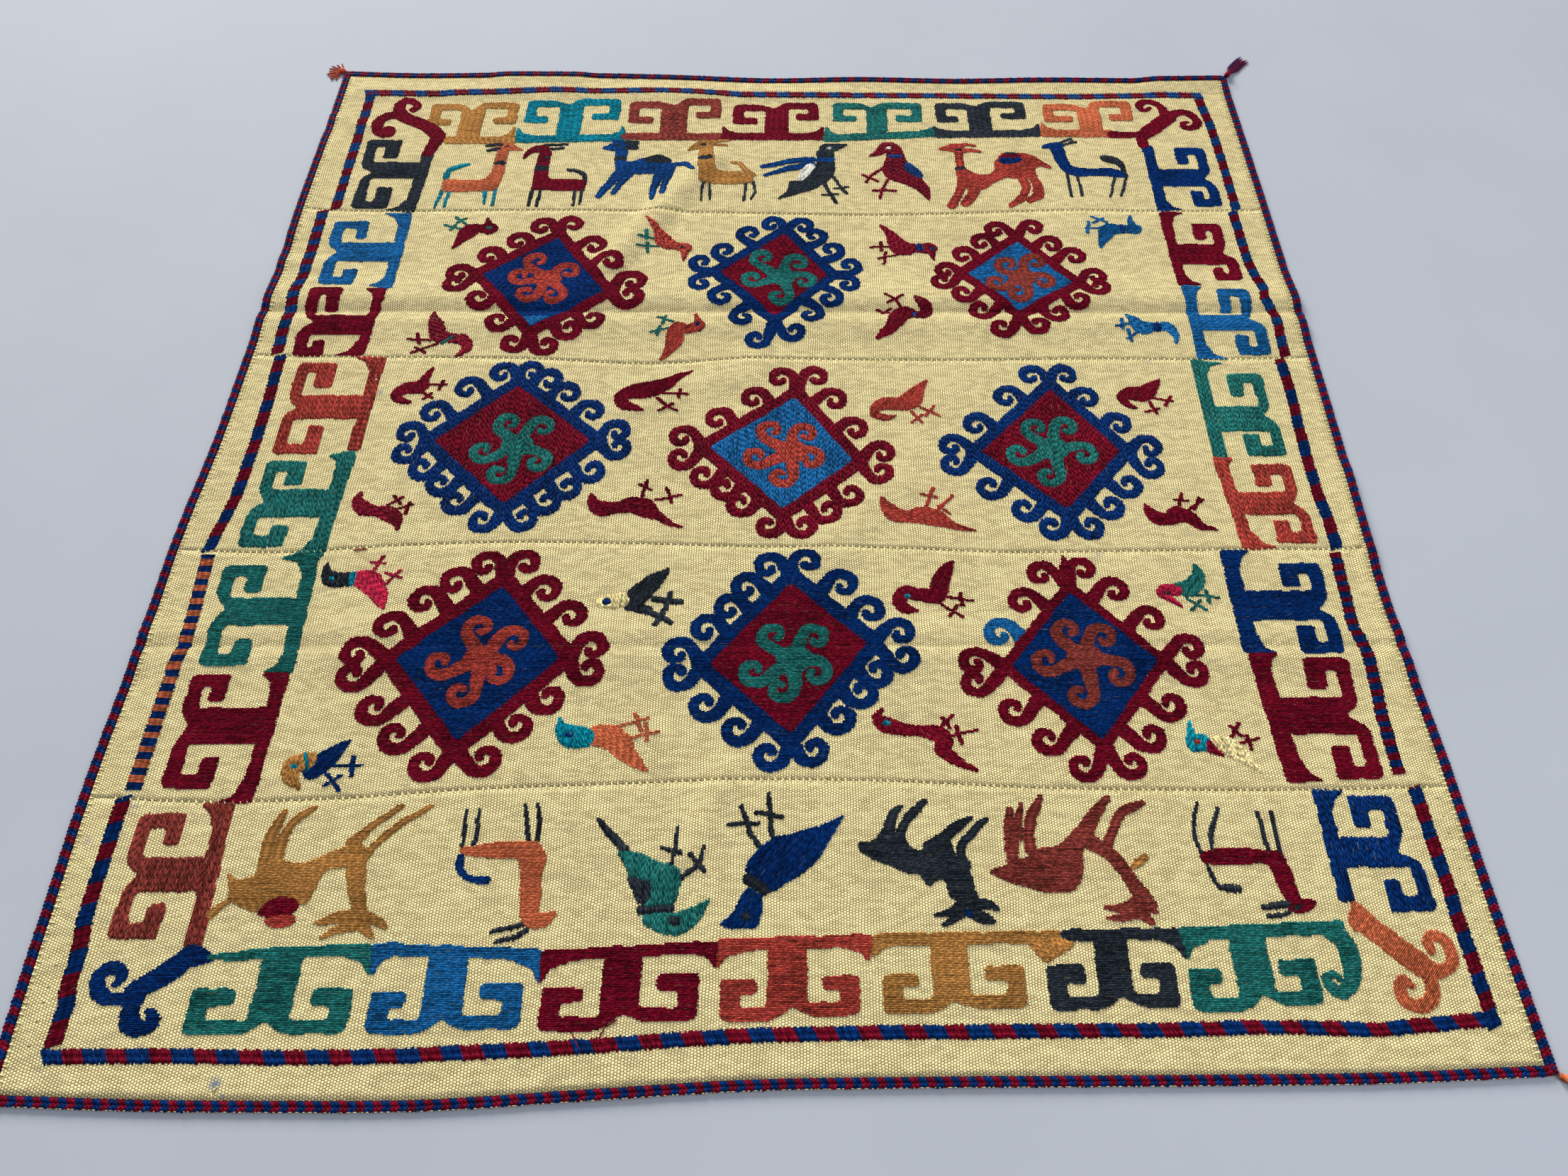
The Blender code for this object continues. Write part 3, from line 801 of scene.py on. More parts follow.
def cut_runs(start, end, row):
    """Each run is cut into pieces of about a stitch length. The cuts lie at whole numbers of pieces
    less a shift that depends on the row, so the first and last piece are shorter."""
    length = end - start
    count = np.maximum(np.rint(length / STITCH_LENGTH), 1)
    shift = np.where(count > 1, BRICK_SHIFTS[row % len(BRICK_SHIFTS)], 0.0)
    pieces = (count + (count > 1)).astype(int)
    run = np.repeat(np.arange(len(length)), pieces)
    place = np.arange(pieces.sum()) - np.repeat(np.cumsum(pieces) - pieces, pieces)
    share = (place - shift[run]) / count[run], (place + 1 - shift[run]) / count[run]
    low = start[run] + length[run] * np.clip(share[0], 0, 1) - STITCH_OVERLAP
    high = start[run] + length[run] * np.clip(share[1], 0, 1) + STITCH_OVERLAP
    return run, low, high


def turned(s, t, way):
    """The place that lies s along a direction and t to the left of it."""
    return s * way[0] - t * way[1], s * way[1] + t * way[0]


def crossing(field, s, row, left):
    """Where the distance passes through nought between one sample of a row and the next."""
    before, after = field[row, left], field[row, left + 1]
    return s[left] + SAMPLE_STEP * before / (before - after)


def fill(number):
    """Fills layer number: rows across its box, turned by its angle; later layers over it are kept
    free by taking the larger of its own distance and the others' distances reversed."""
    wool, shapes, angle, low, high = LAYERS[number]
    over = [other for other in LAYERS[number + 1:]
            if (other[3] < high).all() and (other[4] > low).all()]
    way = direction(angle)
    corners = np.array([(u, v) for u in (low[0], high[0]) for v in (low[1], high[1])])
    s_corners = corners @ way
    t_corners = corners @ np.array([-way[1], way[0]])
    rows = np.arange(np.floor(t_corners.min() / ROW_STEP), np.ceil(t_corners.max() / ROW_STEP) + 1)
    s = np.arange(s_corners.min() - 3, s_corners.max() + 3, SAMPLE_STEP)
    field_u, field_v = waver(*turned(*np.meshgrid(s, (rows + ROW_START) * ROW_STEP), way))
    field = to_shapes(field_u, field_v, shapes)
    for other in over:
        field = np.maximum(field, -to_shapes(field_u, field_v, other[1]))
    inside = field < 0
    row, left = np.nonzero(inside[:, 1:] & ~inside[:, :-1])
    _, right = np.nonzero(inside[:, :-1] & ~inside[:, 1:])
    if len(row) == 0:
        return
    start, end = crossing(field, s, row, left), crossing(field, s, row, right)
    long_enough = end - start > SHORTEST_RUN
    row, start, end = row[long_enough], start[long_enough], end[long_enough]
    start = start + chance.normal(0, UNEVEN_END, len(row))
    end = np.maximum(end + chance.normal(0, UNEVEN_END, len(row)), start + 1.0)
    run, first, last = cut_runs(start, end, rows[row].astype(int))
    t = (rows[row][run] + ROW_START) * ROW_STEP
    slip = chance.normal(0, SLIP, (2, len(run)))
    u0, v0 = turned(first, t + slip[0], way)
    u1, v1 = turned(last, t + slip[1], way)
    cloud = CLOUD_TONE * np.sin(u0 / 23 + number) + CLOUD_TONE * np.sin(v0 / 17 + 2 * number)
    own_row = chance.normal(0, ROW_TONE, len(row))[run]
    tone = 0.5 + cloud + own_row + chance.normal(0, EVEN_WOOLS.get(wool, STITCH_TONE), len(run))
    add_stitches(u0, v0, u1, v1, wool, tone, ROW_STEP * STITCH_FATNESS)


# %% [markdown]
# ## One stitch
# Close up a stitch is a little bank of wool: it comes out of the cloth, lies on it and goes back in.
# The mesh is the shape of a hipped roof, six points and eight triangles with its floor, which is
# little enough for tens of thousands of them. All stitches of a strip become one mesh.

# %% Stitches as a mesh
STITCH_HEIGHT = 1.7
STITCH_SINK = 0.3
STITCH_FACES = ((0, 3, 5), (0, 5, 2), (0, 2, 1), (3, 4, 5), (0, 1, 4), (0, 4, 3), (2, 5, 4), (2, 4, 1))
STITCH_CORNERS = np.array((
    # share of the length, share of the width aside, share of the rise
    (0.00, 0.5, 0.0), (0.12, 0.0, 1.0), (0.00, -0.5, 0.0),
    (1.00, 0.5, 0.0), (0.88, 0.0, 1.0), (1.00, -0.5, 0.0),
))


def dyed_mesh(name, points, faces, wool, tone, inner, material):
    """A mesh whose points each have a wool, a tone and a place inside their square of the map: the
    square's column is the tone and its row the wool."""
    maps = (np.stack([tone, wool], axis=1) + 0.04 + 0.92 * inner) / TONES
    made = mesh_object(name, points, faces, material, "OFBake", maps[faces.ravel()])
    dye = np.ones((len(points), 4))
    dye[:, :3] = toned_colour(wool.astype(int), tone)
    stored = made.data.color_attributes.new("dye", "FLOAT_COLOR", "POINT")
    stored.data.foreach_set("color", dye.ravel())
    return made


def stitch_mesh(name, rows, material, rise=STITCH_HEIGHT):
    """Each corner of a stitch is the point at its share of the length, moved aside by its share of
    the width and lifted by its share of the rise; the foot is sunk a little into the cloth."""
    u0, v0, u1, v1, wool, tone, width = rows.T
    length = np.hypot(u1 - u0, v1 - v0) + 1e-6
    along = np.stack([u1 - u0, v1 - v0], axis=1)[:, None, :]
    aside = np.stack([v0 - v1, u1 - u0], axis=1)[:, None, :] * (width / length)[:, None, None]
    shares, sides, lifts = STITCH_CORNERS.T
    place = np.stack([u0, v0], axis=1)[:, None, :] + along * shares[:, None] + aside * sides[:, None]
    u, v = place[..., 0] / 1000, place[..., 1] / 1000
    height = cloth_height(u, v) + CLOTH_THICK + (lifts * (rise + STITCH_SINK) - STITCH_SINK) / 1000
    points = laid(u, v, height).reshape(-1, 3)
    count, each = len(rows), len(STITCH_CORNERS)
    faces = (np.array(STITCH_FACES)[None] + each * np.arange(count)[:, None, None]).reshape(-1, 3)
    # Across the map is 0.5 on the crest and 0 or 1 on the sides, where the yarn has painted shade.
    inner = np.tile(np.stack([shares, 0.5 - sides], axis=1), (count, 1))
    return dyed_mesh(name, points, faces, np.repeat(wool, each), np.repeat(tone, each), inner, material)


print("triangles a stitch:", len(STITCH_FACES))

# %% [markdown]
# ## Horned border figures
# The border is a row of T shapes. Each has a base bar, a stem and two horns that turn back inwards
# with square hooks, and the base often ends in a point that meets its neighbour's. They are the same
# figure at different sizes, so one function draws them all from a dozen measures; s runs along the
# border and t across it, towards the horns.

# %% One horned figure
ROUNDED = 6
FLARE_ROOT = 36
HOLLOW_ALONG = 12
HOLLOW_SHARE = 0.70
NOTCH_HALF = 30


def flare(end, inner, outer, tip, way):
    """A pointed end of the base: a hollow-sided triangle from the base's corner to its tip."""
    hollow = (end + tip[0]) / 2 + way * HOLLOW_ALONG, tip[1] + HOLLOW_SHARE * (outer - tip[1])
    root = end + way * FLARE_ROOT
    return [(end, inner), tip, hollow, (root, outer), (root, inner)]


def horned_figure(row, upright, far_bar, side_bar, angle):
    """The stem and both horns are one outline: up the stem, round one hook, along the far side by way
    of the notch, and round the other hook back down. The base and its points are further outlines."""
    wool, base, inner, thick, stem, low, high, notch, flares = row
    way = np.sign(low[1] - inner[0])
    outer = inner[0] + way * thick, inner[1] + way * thick
    (o0, e0, h0, c0, k0), (o1, e1, h1, c1, k1) = low, high
    body = [
        (stem[0], outer[0] - way * 4), (stem[0], e0 - way * far_bar), (o0 + side_bar, e0 - way * far_bar),
        (o0 + side_bar, h0 + way * c0), (k0, h0 + way * c0), (k0, h0), (o0 + 2, h0), (o0, h0 + way * 3),
        (o0, e0 - way * ROUNDED), (o0 + ROUNDED, e0), (notch[0] - NOTCH_HALF, e0),
        (notch[0] - NOTCH_HALF / 2, e0 - way * 5), notch, (notch[0] + NOTCH_HALF / 2, e1 - way * 5),
        (notch[0] + NOTCH_HALF, e1), (o1 - ROUNDED, e1), (o1, e1 - way * ROUNDED), (o1, h1 + way * 3),
        (o1 - 2, h1), (k1, h1), (k1, h1 + way * c1), (o1 - side_bar, h1 + way * c1),
        (o1 - side_bar, e1 - way * far_bar), (stem[1], e1 - way * far_bar), (stem[1], outer[1] - way * 4),
    ]
    bar = [(base[0], inner[0]), (base[1], inner[1]), (base[1], outer[1]), (base[0], outer[0])]
    ends = zip(base, inner, outer, flares, (1, -1))
    shapes = [body, bar, *(flare(*end) for end in ends if end[3])]
    layer(wool, [[(t, s) for s, t in shape] for shape in shapes] if upright else shapes, angle)


# %% The border's figures
# Each horn is (outer side, far side, hook's near side, hook's thickness, hook's end).
TOP_FIGURES = (
    # wool, base from and to, its near edge at both ends, thickness, stem, horn, horn, notch, points
    ("ochre", (-706, -562), (781, 781), 22, (-683, -638), (-748, 910, 840, 20, -702),
     (-569, 916, 846, 20, -615), (-664, 887), (None, (-570, 838))),
    ("turquoise", (-562, -332), (785, 793), 22, (-481, -434), (-551, 923, 850, 20, -504),
     (-358, 929, 862, 20, -412), (-463, 909), ((-563, 836), (-347, 843))),
    ("dark rust", (-347, -143), (796, 797), 22, (-270, -216), (-337, 922, 851, 20, -287),
     (-147, 932, 869, 20, -198), (-242, 909), (None, None)),
    ("crimson", (-143, 69), (798, 799), 22, (-52, -5), (-119, 914, 850, 20, -70), (58, 921, 864, 20, 12),
     (-33, 900), ((-139, 844), (69, 845))),
    ("teal", (68, 305), (794, 812), 21, (160, 202), (90, 922, 861, 18, 138), (276, 924, 861, 20, 222),
     (172, 907), ((74, 847), (295, 846))),
    ("charcoal", (302, 521), (809, 814), 22, (374, 421), (307, 924, 860, 20, 352), (496, 930, 873, 18, 444),
     (393, 914), ((298, 849), (521, 859))),
    ("orange", (522, 674), (814, 814), 23, (608, 655), (536, 923, 863, 20, 595), (724, 935, 869, 20, 675),
     (628, 907), ((528, 865), None)),
)
BOTTOM_FIGURES = (
    ("teal", (-690, -536), (-845, -840), 15, (-672, -622), (-750, -951, -895, 21, -697),
     (-549, -952, -897, 21, -599), (-650, -935), (None, (-531, -885))),
    ("light blue", (-536, -316), (-840, -851), 15, (-459, -409), (-524, -954, -902, 20, -481),
     (-334, -950, -894, 20, -387), (-432, -936), ((-531, -885), (-315, -897))),
    ("crimson", (-316, -88), (-853, -844), 15, (-234, -186), (-309, -954, -901, 18, -258),
     (-112, -944, -885, 22, -164), (-209, -935), ((-315, -897), (-89, -881))),
    ("rust", (-88, 115), (-841, -838), 17, (-22, 28), (-82, -946, -894, 18, -36), (95, -941, -891, 18, 49),
     (7, -927), ((-89, -881), (109, -877))),
    ("ochre", (115, 364), (-837, -837), 16, (191, 238), (127, -940, -890, 16, 171),
     (310, -935, -881, 19, 260), (215, -924), ((112, -872), None)),
    ("charcoal", (364, 522), (-836, -835), 15, (406, 449), (340, -939, -881, 25, 389),
     (508, -937, -881, 18, 463), (433, -921), (None, (527, -879))),
    ("teal", (522, 745), (-836, -828), 18, (587, 634), (525, -944, -889, 20, 567), (694, -937, -879, 21, 646),
     (616, -922), ((527, -879), None)),
)
LEFT_FIGURES = (
    ("charcoal", (573, 750), (-729, -720), 22, (673, 722), (583, -852, -784, 28, 646),
     (791, -858, -791, 28, 734), (690, -832), ((578, -787), None)),
    ("light blue", (357, 570), (-732, -732), 19, (435, 486), (370, -869, -806, 23, 414),
     (546, -874, -809, 18, 497), (461, -850), ((366, -777), (570, -786))),
    ("crimson", (195, 359), (-752, -740), 17, (244, 291), (194, -877, -826, 21, 231),
     (360, -877, -820, 22, 302), (274, -852), ((195, -804), (359, -781))),
    ("rust", (-20, 192), (-715, -711), 22, (50, 102), (-26, -860, -785, 27, 34), (177, -860, -792, 32, 121),
     (75, -840), (None, (192, -767))),
    ("teal", (-235, -22), (-730, -720), 26, (-156, -101), (-214, -869, -797, 27, -174),
     (-42, -862, -796, 28, -91), (-125, -845), ((-236, -795), (-30, -766))),
    ("teal", (-442, -227), (-729, -736), 20, (-360, -309), (-429, -869, -801, 25, -384),
     (-249, -877, -812, 25, -299), (-327, -855), ((-440, -774), (-236, -795))),
    ("crimson", (-645, -441), (-739, -734), 19, (-555, -497), (-622, -870, -802, 22, -574),
     (-442, -874, -819, 21, -487), (-526, -855), ((-645, -791), (-441, -774))),
    ("dark rust", (-843, -643), (-754, -762), 23, (-768, -722), (-830, -879, -815, 22, -784),
     (-659, -886, -822, 23, -704), (-745, -864), (None, (-645, -809))),
)
RIGHT_FIGURES = (
    ("navy", (583, 787), (730, 730), 21, (659, 712), (599, 862, 806, 23, 646), (780, 857, 795, 23, 728),
     (683, 840), ((588, 781), None)),
    ("crimson", (370, 582), (733, 731), 19, (432, 489), (387, 860, 809, 18, 424), (547, 846, 790, 21, 501),
     (464, 834), ((372, 780), (581, 780))),
    ("light blue", (187, 370), (737, 737), 20, (255, 294), (197, 874, 815, 22, 245), (360, 860, 801, 19, 300),
     (284, 844), ((187, 794), (367, 777))),
    ("teal", (-40, 186), (722, 722), 24, (19, 74), (-35, 850, 781, 30, 12), (151, 844, 780, 24, 99),
     (54, 827), (None, (177, 780))),
    ("rust", (-229, -38), (734, 720), 22, (-159, -114), (-216, 859, 794, 28, -172), (-55, 850, 782, 28, -100),
     (-136, 836), ((-225, 792), (-40, 755))),
    ("navy", (-421, -229), (695, 695), 24, (-362, -307), (-422, 851, 785, 27, -372),
     (-255, 850, 784, 26, -300), (-340, 829), ((-421, 747), (-231, 744))),
    ("crimson", (-632, -420), (715, 701), 27, (-556, -495), (-627, 856, 791, 26, -574),
     (-430, 850, 782, 28, -482), (-526, 825), ((-630, 771), (-421, 748))),
    ("navy", (-803, -642), (747, 747), 22, (-756, -714), (-818, 877, 814, 22, -775),
     (-653, 860, 794, 26, -699), (-735, 845), (None, (-644, 794))),
)
STITCHED_UPWARDS = (3, 4, 7)

for row in TOP_FIGURES:
    horned_figure(row, False, 20, 20, -8)
for row in BOTTOM_FIGURES:
    horned_figure(row, False, 17, 23, 0)
for rows in (LEFT_FIGURES, RIGHT_FIGURES):
    for number, row in enumerate(rows):
        horned_figure(row, True, 20, 20, 90 if number in STITCHED_UPWARDS else 0)
print("border figures:", len(LAYERS))

# %% [markdown]
# ## Corner forks
# Each corner of the border has a forked branch with two curls. It is a few strokes of changing width.

# %% Corner forks
CORNER_FORKS = (
    ("crimson", 0, ((-732, 750, 11), (-727, 775, 12), (-720, 797, 15), (-740, 828, 15), (-800, 866, 14),
     (-815, 878, 14)), ((-808, 872, 14), (-816, 896, 11), (-812, 914, 9), (-800, 920, 8), (-786, 914, 8),
     (-779, 900, 8), (-785, 891, 9)), ((-808, 922, 8), (-808, 930, 1)), ((-812, 874, 14), (-836, 868, 12),
     (-849, 850, 11), (-849, 832, 11), (-840, 815, 12), (-824, 814, 14), (-824, 825, 11))),
    ("crimson", 0, ((672, 822, 10), (725, 822, 10)), ((733, 825, 10), (733, 788, 10)), ((737, 820, 14),
     (760, 842, 17), (800, 880, 17)), ((798, 885, 14), (792, 910, 9), (781, 928, 8), (762, 934, 8),
     (747, 925, 8), (746, 909, 7), (758, 904, 5), (765, 913, 4)), ((802, 884, 14), (825, 897, 10),
     (846, 894, 10), (858, 878, 9), (858, 858, 9), (845, 846, 8), (830, 849, 8), (828, 861, 6),
     (838, 865, 4))),
    ("orange", 48, ((768, -826, 14), (802, -860, 15), (834, -889, 16)), ((764, -800), (784, -822),
     (760, -846), (752, -836)), ((838, -891, 12), (862, -897, 8), (877, -884, 8), (877, -862, 8),
     (864, -851, 8), (851, -857, 7), (853, -872, 5)), ((837, -893, 12), (841, -915, 9), (834, -934, 9),
     (816, -941, 9), (800, -934, 8), (797, -918, 8), (806, -909, 7), (815, -915, 4))),
    ("navy", 0, ((-776, -842), (-752, -842), (-732, -857), (-752, -868), (-790, -868)), ((-765, -852, 14),
     (-792, -877, 15), (-822, -895, 13)), ((-820, -896, 12), (-821, -918, 11), (-817, -935, 12),
     (-802, -943, 10), (-791, -938, 8), (-792, -926, 7), (-799, -921, 4)), ((-820, -902, 10), (-852, -906, 8),
     (-870, -894, 9), (-873, -876, 9), (-862, -867, 9), (-849, -870, 8), (-845, -882, 6), (-851, -889, 3))),
    ("teal", 0, ((726, -842, 12), (740, -860, 12), (742, -886, 12), (736, -908, 10), (722, -922, 8),
     (708, -916, 7), (705, -903, 6), (715, -899, 5), (722, -907, 3))),
    ("ochre", -40, ((314, -848), (340, -880), (384, -854), (364, -846))),
    ("teal", 0, ((-745, -853), (-685, -845), (-685, -860), (-742, -859))),
)
draw(CORNER_FORKS)
print("with corners:", len(LAYERS))

# %% [markdown]
# ## Medallions
# Nine diamonds fill the middle. Each has a frame with curls all round it like breaking waves, a plain
# field, and in it a wheel of five hooked arms. A curl is a spiral: an arm leaves its root, runs round
# a centre and closes in on it while it gets thinner. At the side corners two curls turn towards each
# other, at the top and bottom corners away from each other.

# %% Spirals and diamonds
CURL = dict(reach=24.0, turn=322, closing=0.76, half=9.6, tip=5.6, lean=1.0)
CORNER_CURL = dict(CURL, half=9.8, tip=6.2)
HOOK = dict(reach=21.0, turn=300, closing=0.74, half=9.4, tip=5.8, lean=0.8)
SPIRAL_STEPS = 15
ROOT_WIDER = 1.35
SPIRAL_OFFSET = (4.2, 5.9)
CORNER_ROOT = 0.55
CORNER_SIZE = 0.96
FOOT_SHIFT = 13
HUB_REACH = 4
HUB_HALF = 23


def spiral(root, middle, sense, kind, size=1.0):
    """From the root straight to a circle round the pole, touching it, then round by the turn while
    the radius shrinks with the share of the way to the power 1.3. The pole lies a little to one side
    of the curl's visible middle, because the first half turn is the widest."""
    reach = kind["reach"] * size
    off = np.subtract(root, middle).astype(float)
    away = max(np.hypot(*off), reach * 1.02)
    start = np.arctan2(off[1], off[0]) + sense * np.arccos(reach / away)
    quarter = start + sense * np.pi / 2
    lean = size * kind["lean"] * np.array(SPIRAL_OFFSET)
    pole = np.array(middle) - lean[0] * np.array([np.cos(start), np.sin(start)])
    pole = pole - lean[1] * np.array([np.cos(quarter), np.sin(quarter)])
    share = np.linspace(0.0, 1.0, SPIRAL_STEPS)
    angle = start + sense * np.radians(kind["turn"]) * share
    radius = reach * (1 - kind["closing"] * share**1.3)
    half = size * (kind["half"] + (kind["tip"] - kind["half"]) * share)
    path = np.stack([pole[0] + radius * np.cos(angle), pole[1] + radius * np.sin(angle), half], axis=1)
    return [(*root, kind["half"] * size * ROOT_WIDER), *map(tuple, path.tolist())]


def toward(a, b, length):
    """The point at a length from a towards b."""
    run = np.subtract(b, a).astype(float)
    return np.add(a, run / np.hypot(*run) * length)


def medallion(row):
    """The frame is the diamond made larger about its middle by the frame's width. A corner's curls
    are rooted in that corner, and a third number there is the curl's own size; a side's curls are
    rooted at their foot on the side, moved towards the nearer of the top and bottom corners."""
    wools, angle, width, size, corners, pairs, sides, wheel, hooks, rolls_back = row
    middle = np.mean(corners, axis=0)
    ring = np.array(corners, float)
    edges = np.roll(ring, -1, axis=0) - ring
    normals = np.stack([edges[:, 1], -edges[:, 0]], axis=1) / np.hypot(*edges.T)[:, None]
    near = np.abs(np.sum((ring - middle) * normals, axis=1)).mean()
    shapes = [middle + (ring - middle) * (near + width) / near]
    for number, pair in enumerate(pairs):
        corner = ring[number]
        root = corner + (corner - middle) / np.hypot(*(corner - middle)) * width * CORNER_ROOT
        for place in pair:
            across = place[0] - (middle if number % 2 == 0 else corner)[0]
            up = place[1] - (corner if number % 2 == 0 else middle)[1]
            sense = -np.sign(across * up)
            if rolls_back and number % 2 == 0:
                sense = -sense
            shapes.append(spiral(root, place[:2], sense, CORNER_CURL, size * (*place, CORNER_SIZE)[2]))
    for (a, b), group in zip(((0, 1), (1, 2), (2, 3), (3, 0)), sides):
        peak, flank = (ring[b], ring[a]) if b in (1, 3) else (ring[a], ring[b])
        if rolls_back:
            peak, flank = flank, peak
        for place in group:
            run = (peak - flank) / np.hypot(*(peak - flank))
            foot = flank + run * np.dot(np.subtract(place, flank), run) + run * FOOT_SHIFT * size
            root = toward(foot, place, width * 0.5)
            sense = -np.sign((place[0] - middle[0]) * (place[1] - middle[1]))
            shapes.append(spiral(root, place, -sense if rolls_back else sense, CURL, size))
    layer(wools[0], shapes, angle)
    layer(wools[1], [ring], angle)
    hub = [(wheel[0] + side * HUB_REACH, wheel[1], HUB_HALF) for side in (-1, 1)]
    layer(wools[2], [*(spiral(wheel, place, -1, HOOK) for place in hooks), hub], angle)


# %% The nine medallions
MEDALLIONS = (
    # wools of frame, field and wheel, stitch angle, frame width, curl size, corners (left, top, right,
    # bottom), curls at the corners, curls on the sides (from the upper left round to the lower left),
    # the wheel's middle, its hooks, and whether the side curls roll the other way
    (("crimson", "navy", "rust"), 0, 20, 0.96, ((-572, 400), (-443, 501), (-341, 351), (-466, 262)),
     (((-617, 407), (-617, 370)), ((-475, 537), (-425, 542)), ((-295, 386, 1.15), (-297, 334, 1.15)),
     ((-437, 216), (-490, 223))), (((-563, 455), (-514, 495)), ((-373, 485), (-337, 436)), ((-360, 278),
     (-400, 253)), ((-524, 272), (-566, 328))), (-450, 388), ((-480, 437), (-415, 412), (-503, 392),
     (-480, 342), (-430, 340)), False),
    (("navy", "crimson", "teal"), 0, 19, 0.88, ((-130, 409), (-10, 516), (72, 400), (-27, 290)),
     (((-171, 432), (-170, 378)), ((-32, 545), (25, 541)), ((118, 423), (113, 376)), ((6, 248), (-56, 231))),
     (((-130, 465), (-82, 514)), ((53, 506), (85, 467)), ((80, 335), (44, 298)), ((-90, 290), (-130, 340))),
     (-15, 395), ((-55, 447), (12, 437), (-70, 385), (-15, 337), (30, 385)), True),
    (("crimson", "light blue", "dark rust"), 0, 19, 0.90, ((336, 406), (440, 495), (534, 379), (425, 305)),
     (((297, 418), (288, 379)), ((402, 532), (472, 538)), ((577, 402), (580, 363)), ((453, 265), (390, 258))),
     (((335, 460), (373, 497)), ((503, 491), (545, 458)), ((535, 328), (493, 296)), ((355, 303), (325, 343))),
     (440, 395), ((410, 428), (465, 440), (390, 375), (430, 345), (480, 385)), False),
    (("navy", "crimson", "teal"), 90, 21, 0.96, ((-596, 1), (-470, 124), (-334, 1), (-462, -132)),
     (((-638, 22), (-637, -28)), ((-500, 158), (-455, 160)), ((-293, 25), (-288, -19)), ((-428, -165),
     (-490, -168))), (((-605, 68), (-556, 123)), ((-420, 142), (-386, 111), (-342, 70)), ((-328, -68),
     (-364, -103), (-395, -133)), ((-604, -62), (-570, -95), (-539, -131))), (-455, -10), ((-480, 38),
     (-420, 33), (-512, -27), (-415, -43), (-475, -72)), False),
    (("crimson", "light blue", "rust"), 90, 21, 0.96, ((-132, -14), (12, 96), (109, -44), (-9, -144)),
     (((-178, 12), (-178, -41)), ((-10, 145), (45, 148)), ((157, -23), (152, -73)), ((23, -182),
     (-27, -180))), (((-118, 52), (-58, 99)), ((78, 96), (112, 30)), ((100, -120), (63, -153)), ((-139, -80),
     (-103, -105), (-76, -138))), (5, -25), ((-34, 20), (25, 17), (-55, -40), (40, -37), (-8, -80)), False),
    (("navy", "crimson", "teal"), 90, 21, 0.96, ((327, -25), (460, 114), (565, -24), (459, -146)),
     (((279, -8), (280, -55)), ((433, 151), (487, 152)), ((614, -12), (610, -62)), ((490, -186),
     (432, -186))), (((325, 39), (383, 102)), ((518, 99), (568, 39)), ((566, -103), (530, -146)),
     ((337, -105), (391, -150))), (450, -20), ((420, 25), (475, 30), (390, -35), (505, -30), (440, -80)),
     False),
    (("crimson", "navy", "rust"), 0, 22, 1.0, ((-582, -419), (-442, -290), (-339, -420), (-472, -554)),
     (((-643, -404), (-640, -451)), ((-470, -246), (-415, -244)), ((-295, -397), (-298, -445)), ((-430, -587),
     (-509, -594))), (((-600, -358), (-557, -311), (-515, -277)), ((-376, -293), (-332, -340)), ((-352, -491),
     (-393, -535)), ((-600, -505), (-560, -551))), (-455, -420), ((-470, -367), (-412, -385), (-517, -432),
     (-425, -440), (-475, -480)), False),
    (("navy", "crimson", "teal"), 0, 22, 0.98, ((-116, -432), (5, -287), (121, -399), (6, -547)),
     (((-162, -407), (-160, -455)), ((-28, -251), (26, -246)), ((171, -375), (175, -428)), ((36, -578),
     (-22, -585))), (((-122, -366), (-88, -328), (-63, -290)), ((85, -286), (125, -334)), ((133, -453),
     (110, -486), (75, -527)), ((-118, -505), (-69, -544))), (10, -425), ((-25, -385), (40, -385),
     (-50, -450), (47, -445), (-5, -477)), False),
    (("crimson", "navy", "dark rust"), 0, 15, 0.92, ((337, -440), (442, -307), (561, -432), (459, -561)),
     (((280, -428), (282, -470)), ((402, -269), (464, -262)), ((612, -407), (612, -456)), ((494, -604),
     (428, -607))), (((367, -320),), ((513, -301), (560, -355)), ((567, -512), (530, -562)), ((335, -517),
     (380, -565))), (450, -425), ((425, -380), (480, -387), (390, -435), (502, -452), (440, -490)), False),
)
layer("light blue", [spiral((360, -396), (327, -378), 1, CURL, 1.0)])
for row in MEDALLIONS:
    medallion(row)
layer("light blue", [[(-487, 289), (-433, 289), (-466, 263)]])
layer("crimson", [[(440, -285, 10), (441, -262, 9), (440, -240, 2)]])
print("with medallions:", len(LAYERS))

# %% [markdown]
# ## Birds between the medallions
# Small birds fill the gaps, each put in anyhow: head up, head down or lying on its side. A bird is
# one stroke of changing width for the body, neck and tail, one or two small shapes in other wools for
# the collar and the eye, and a pair of legs, each a straight line with a cross bar for the foot.

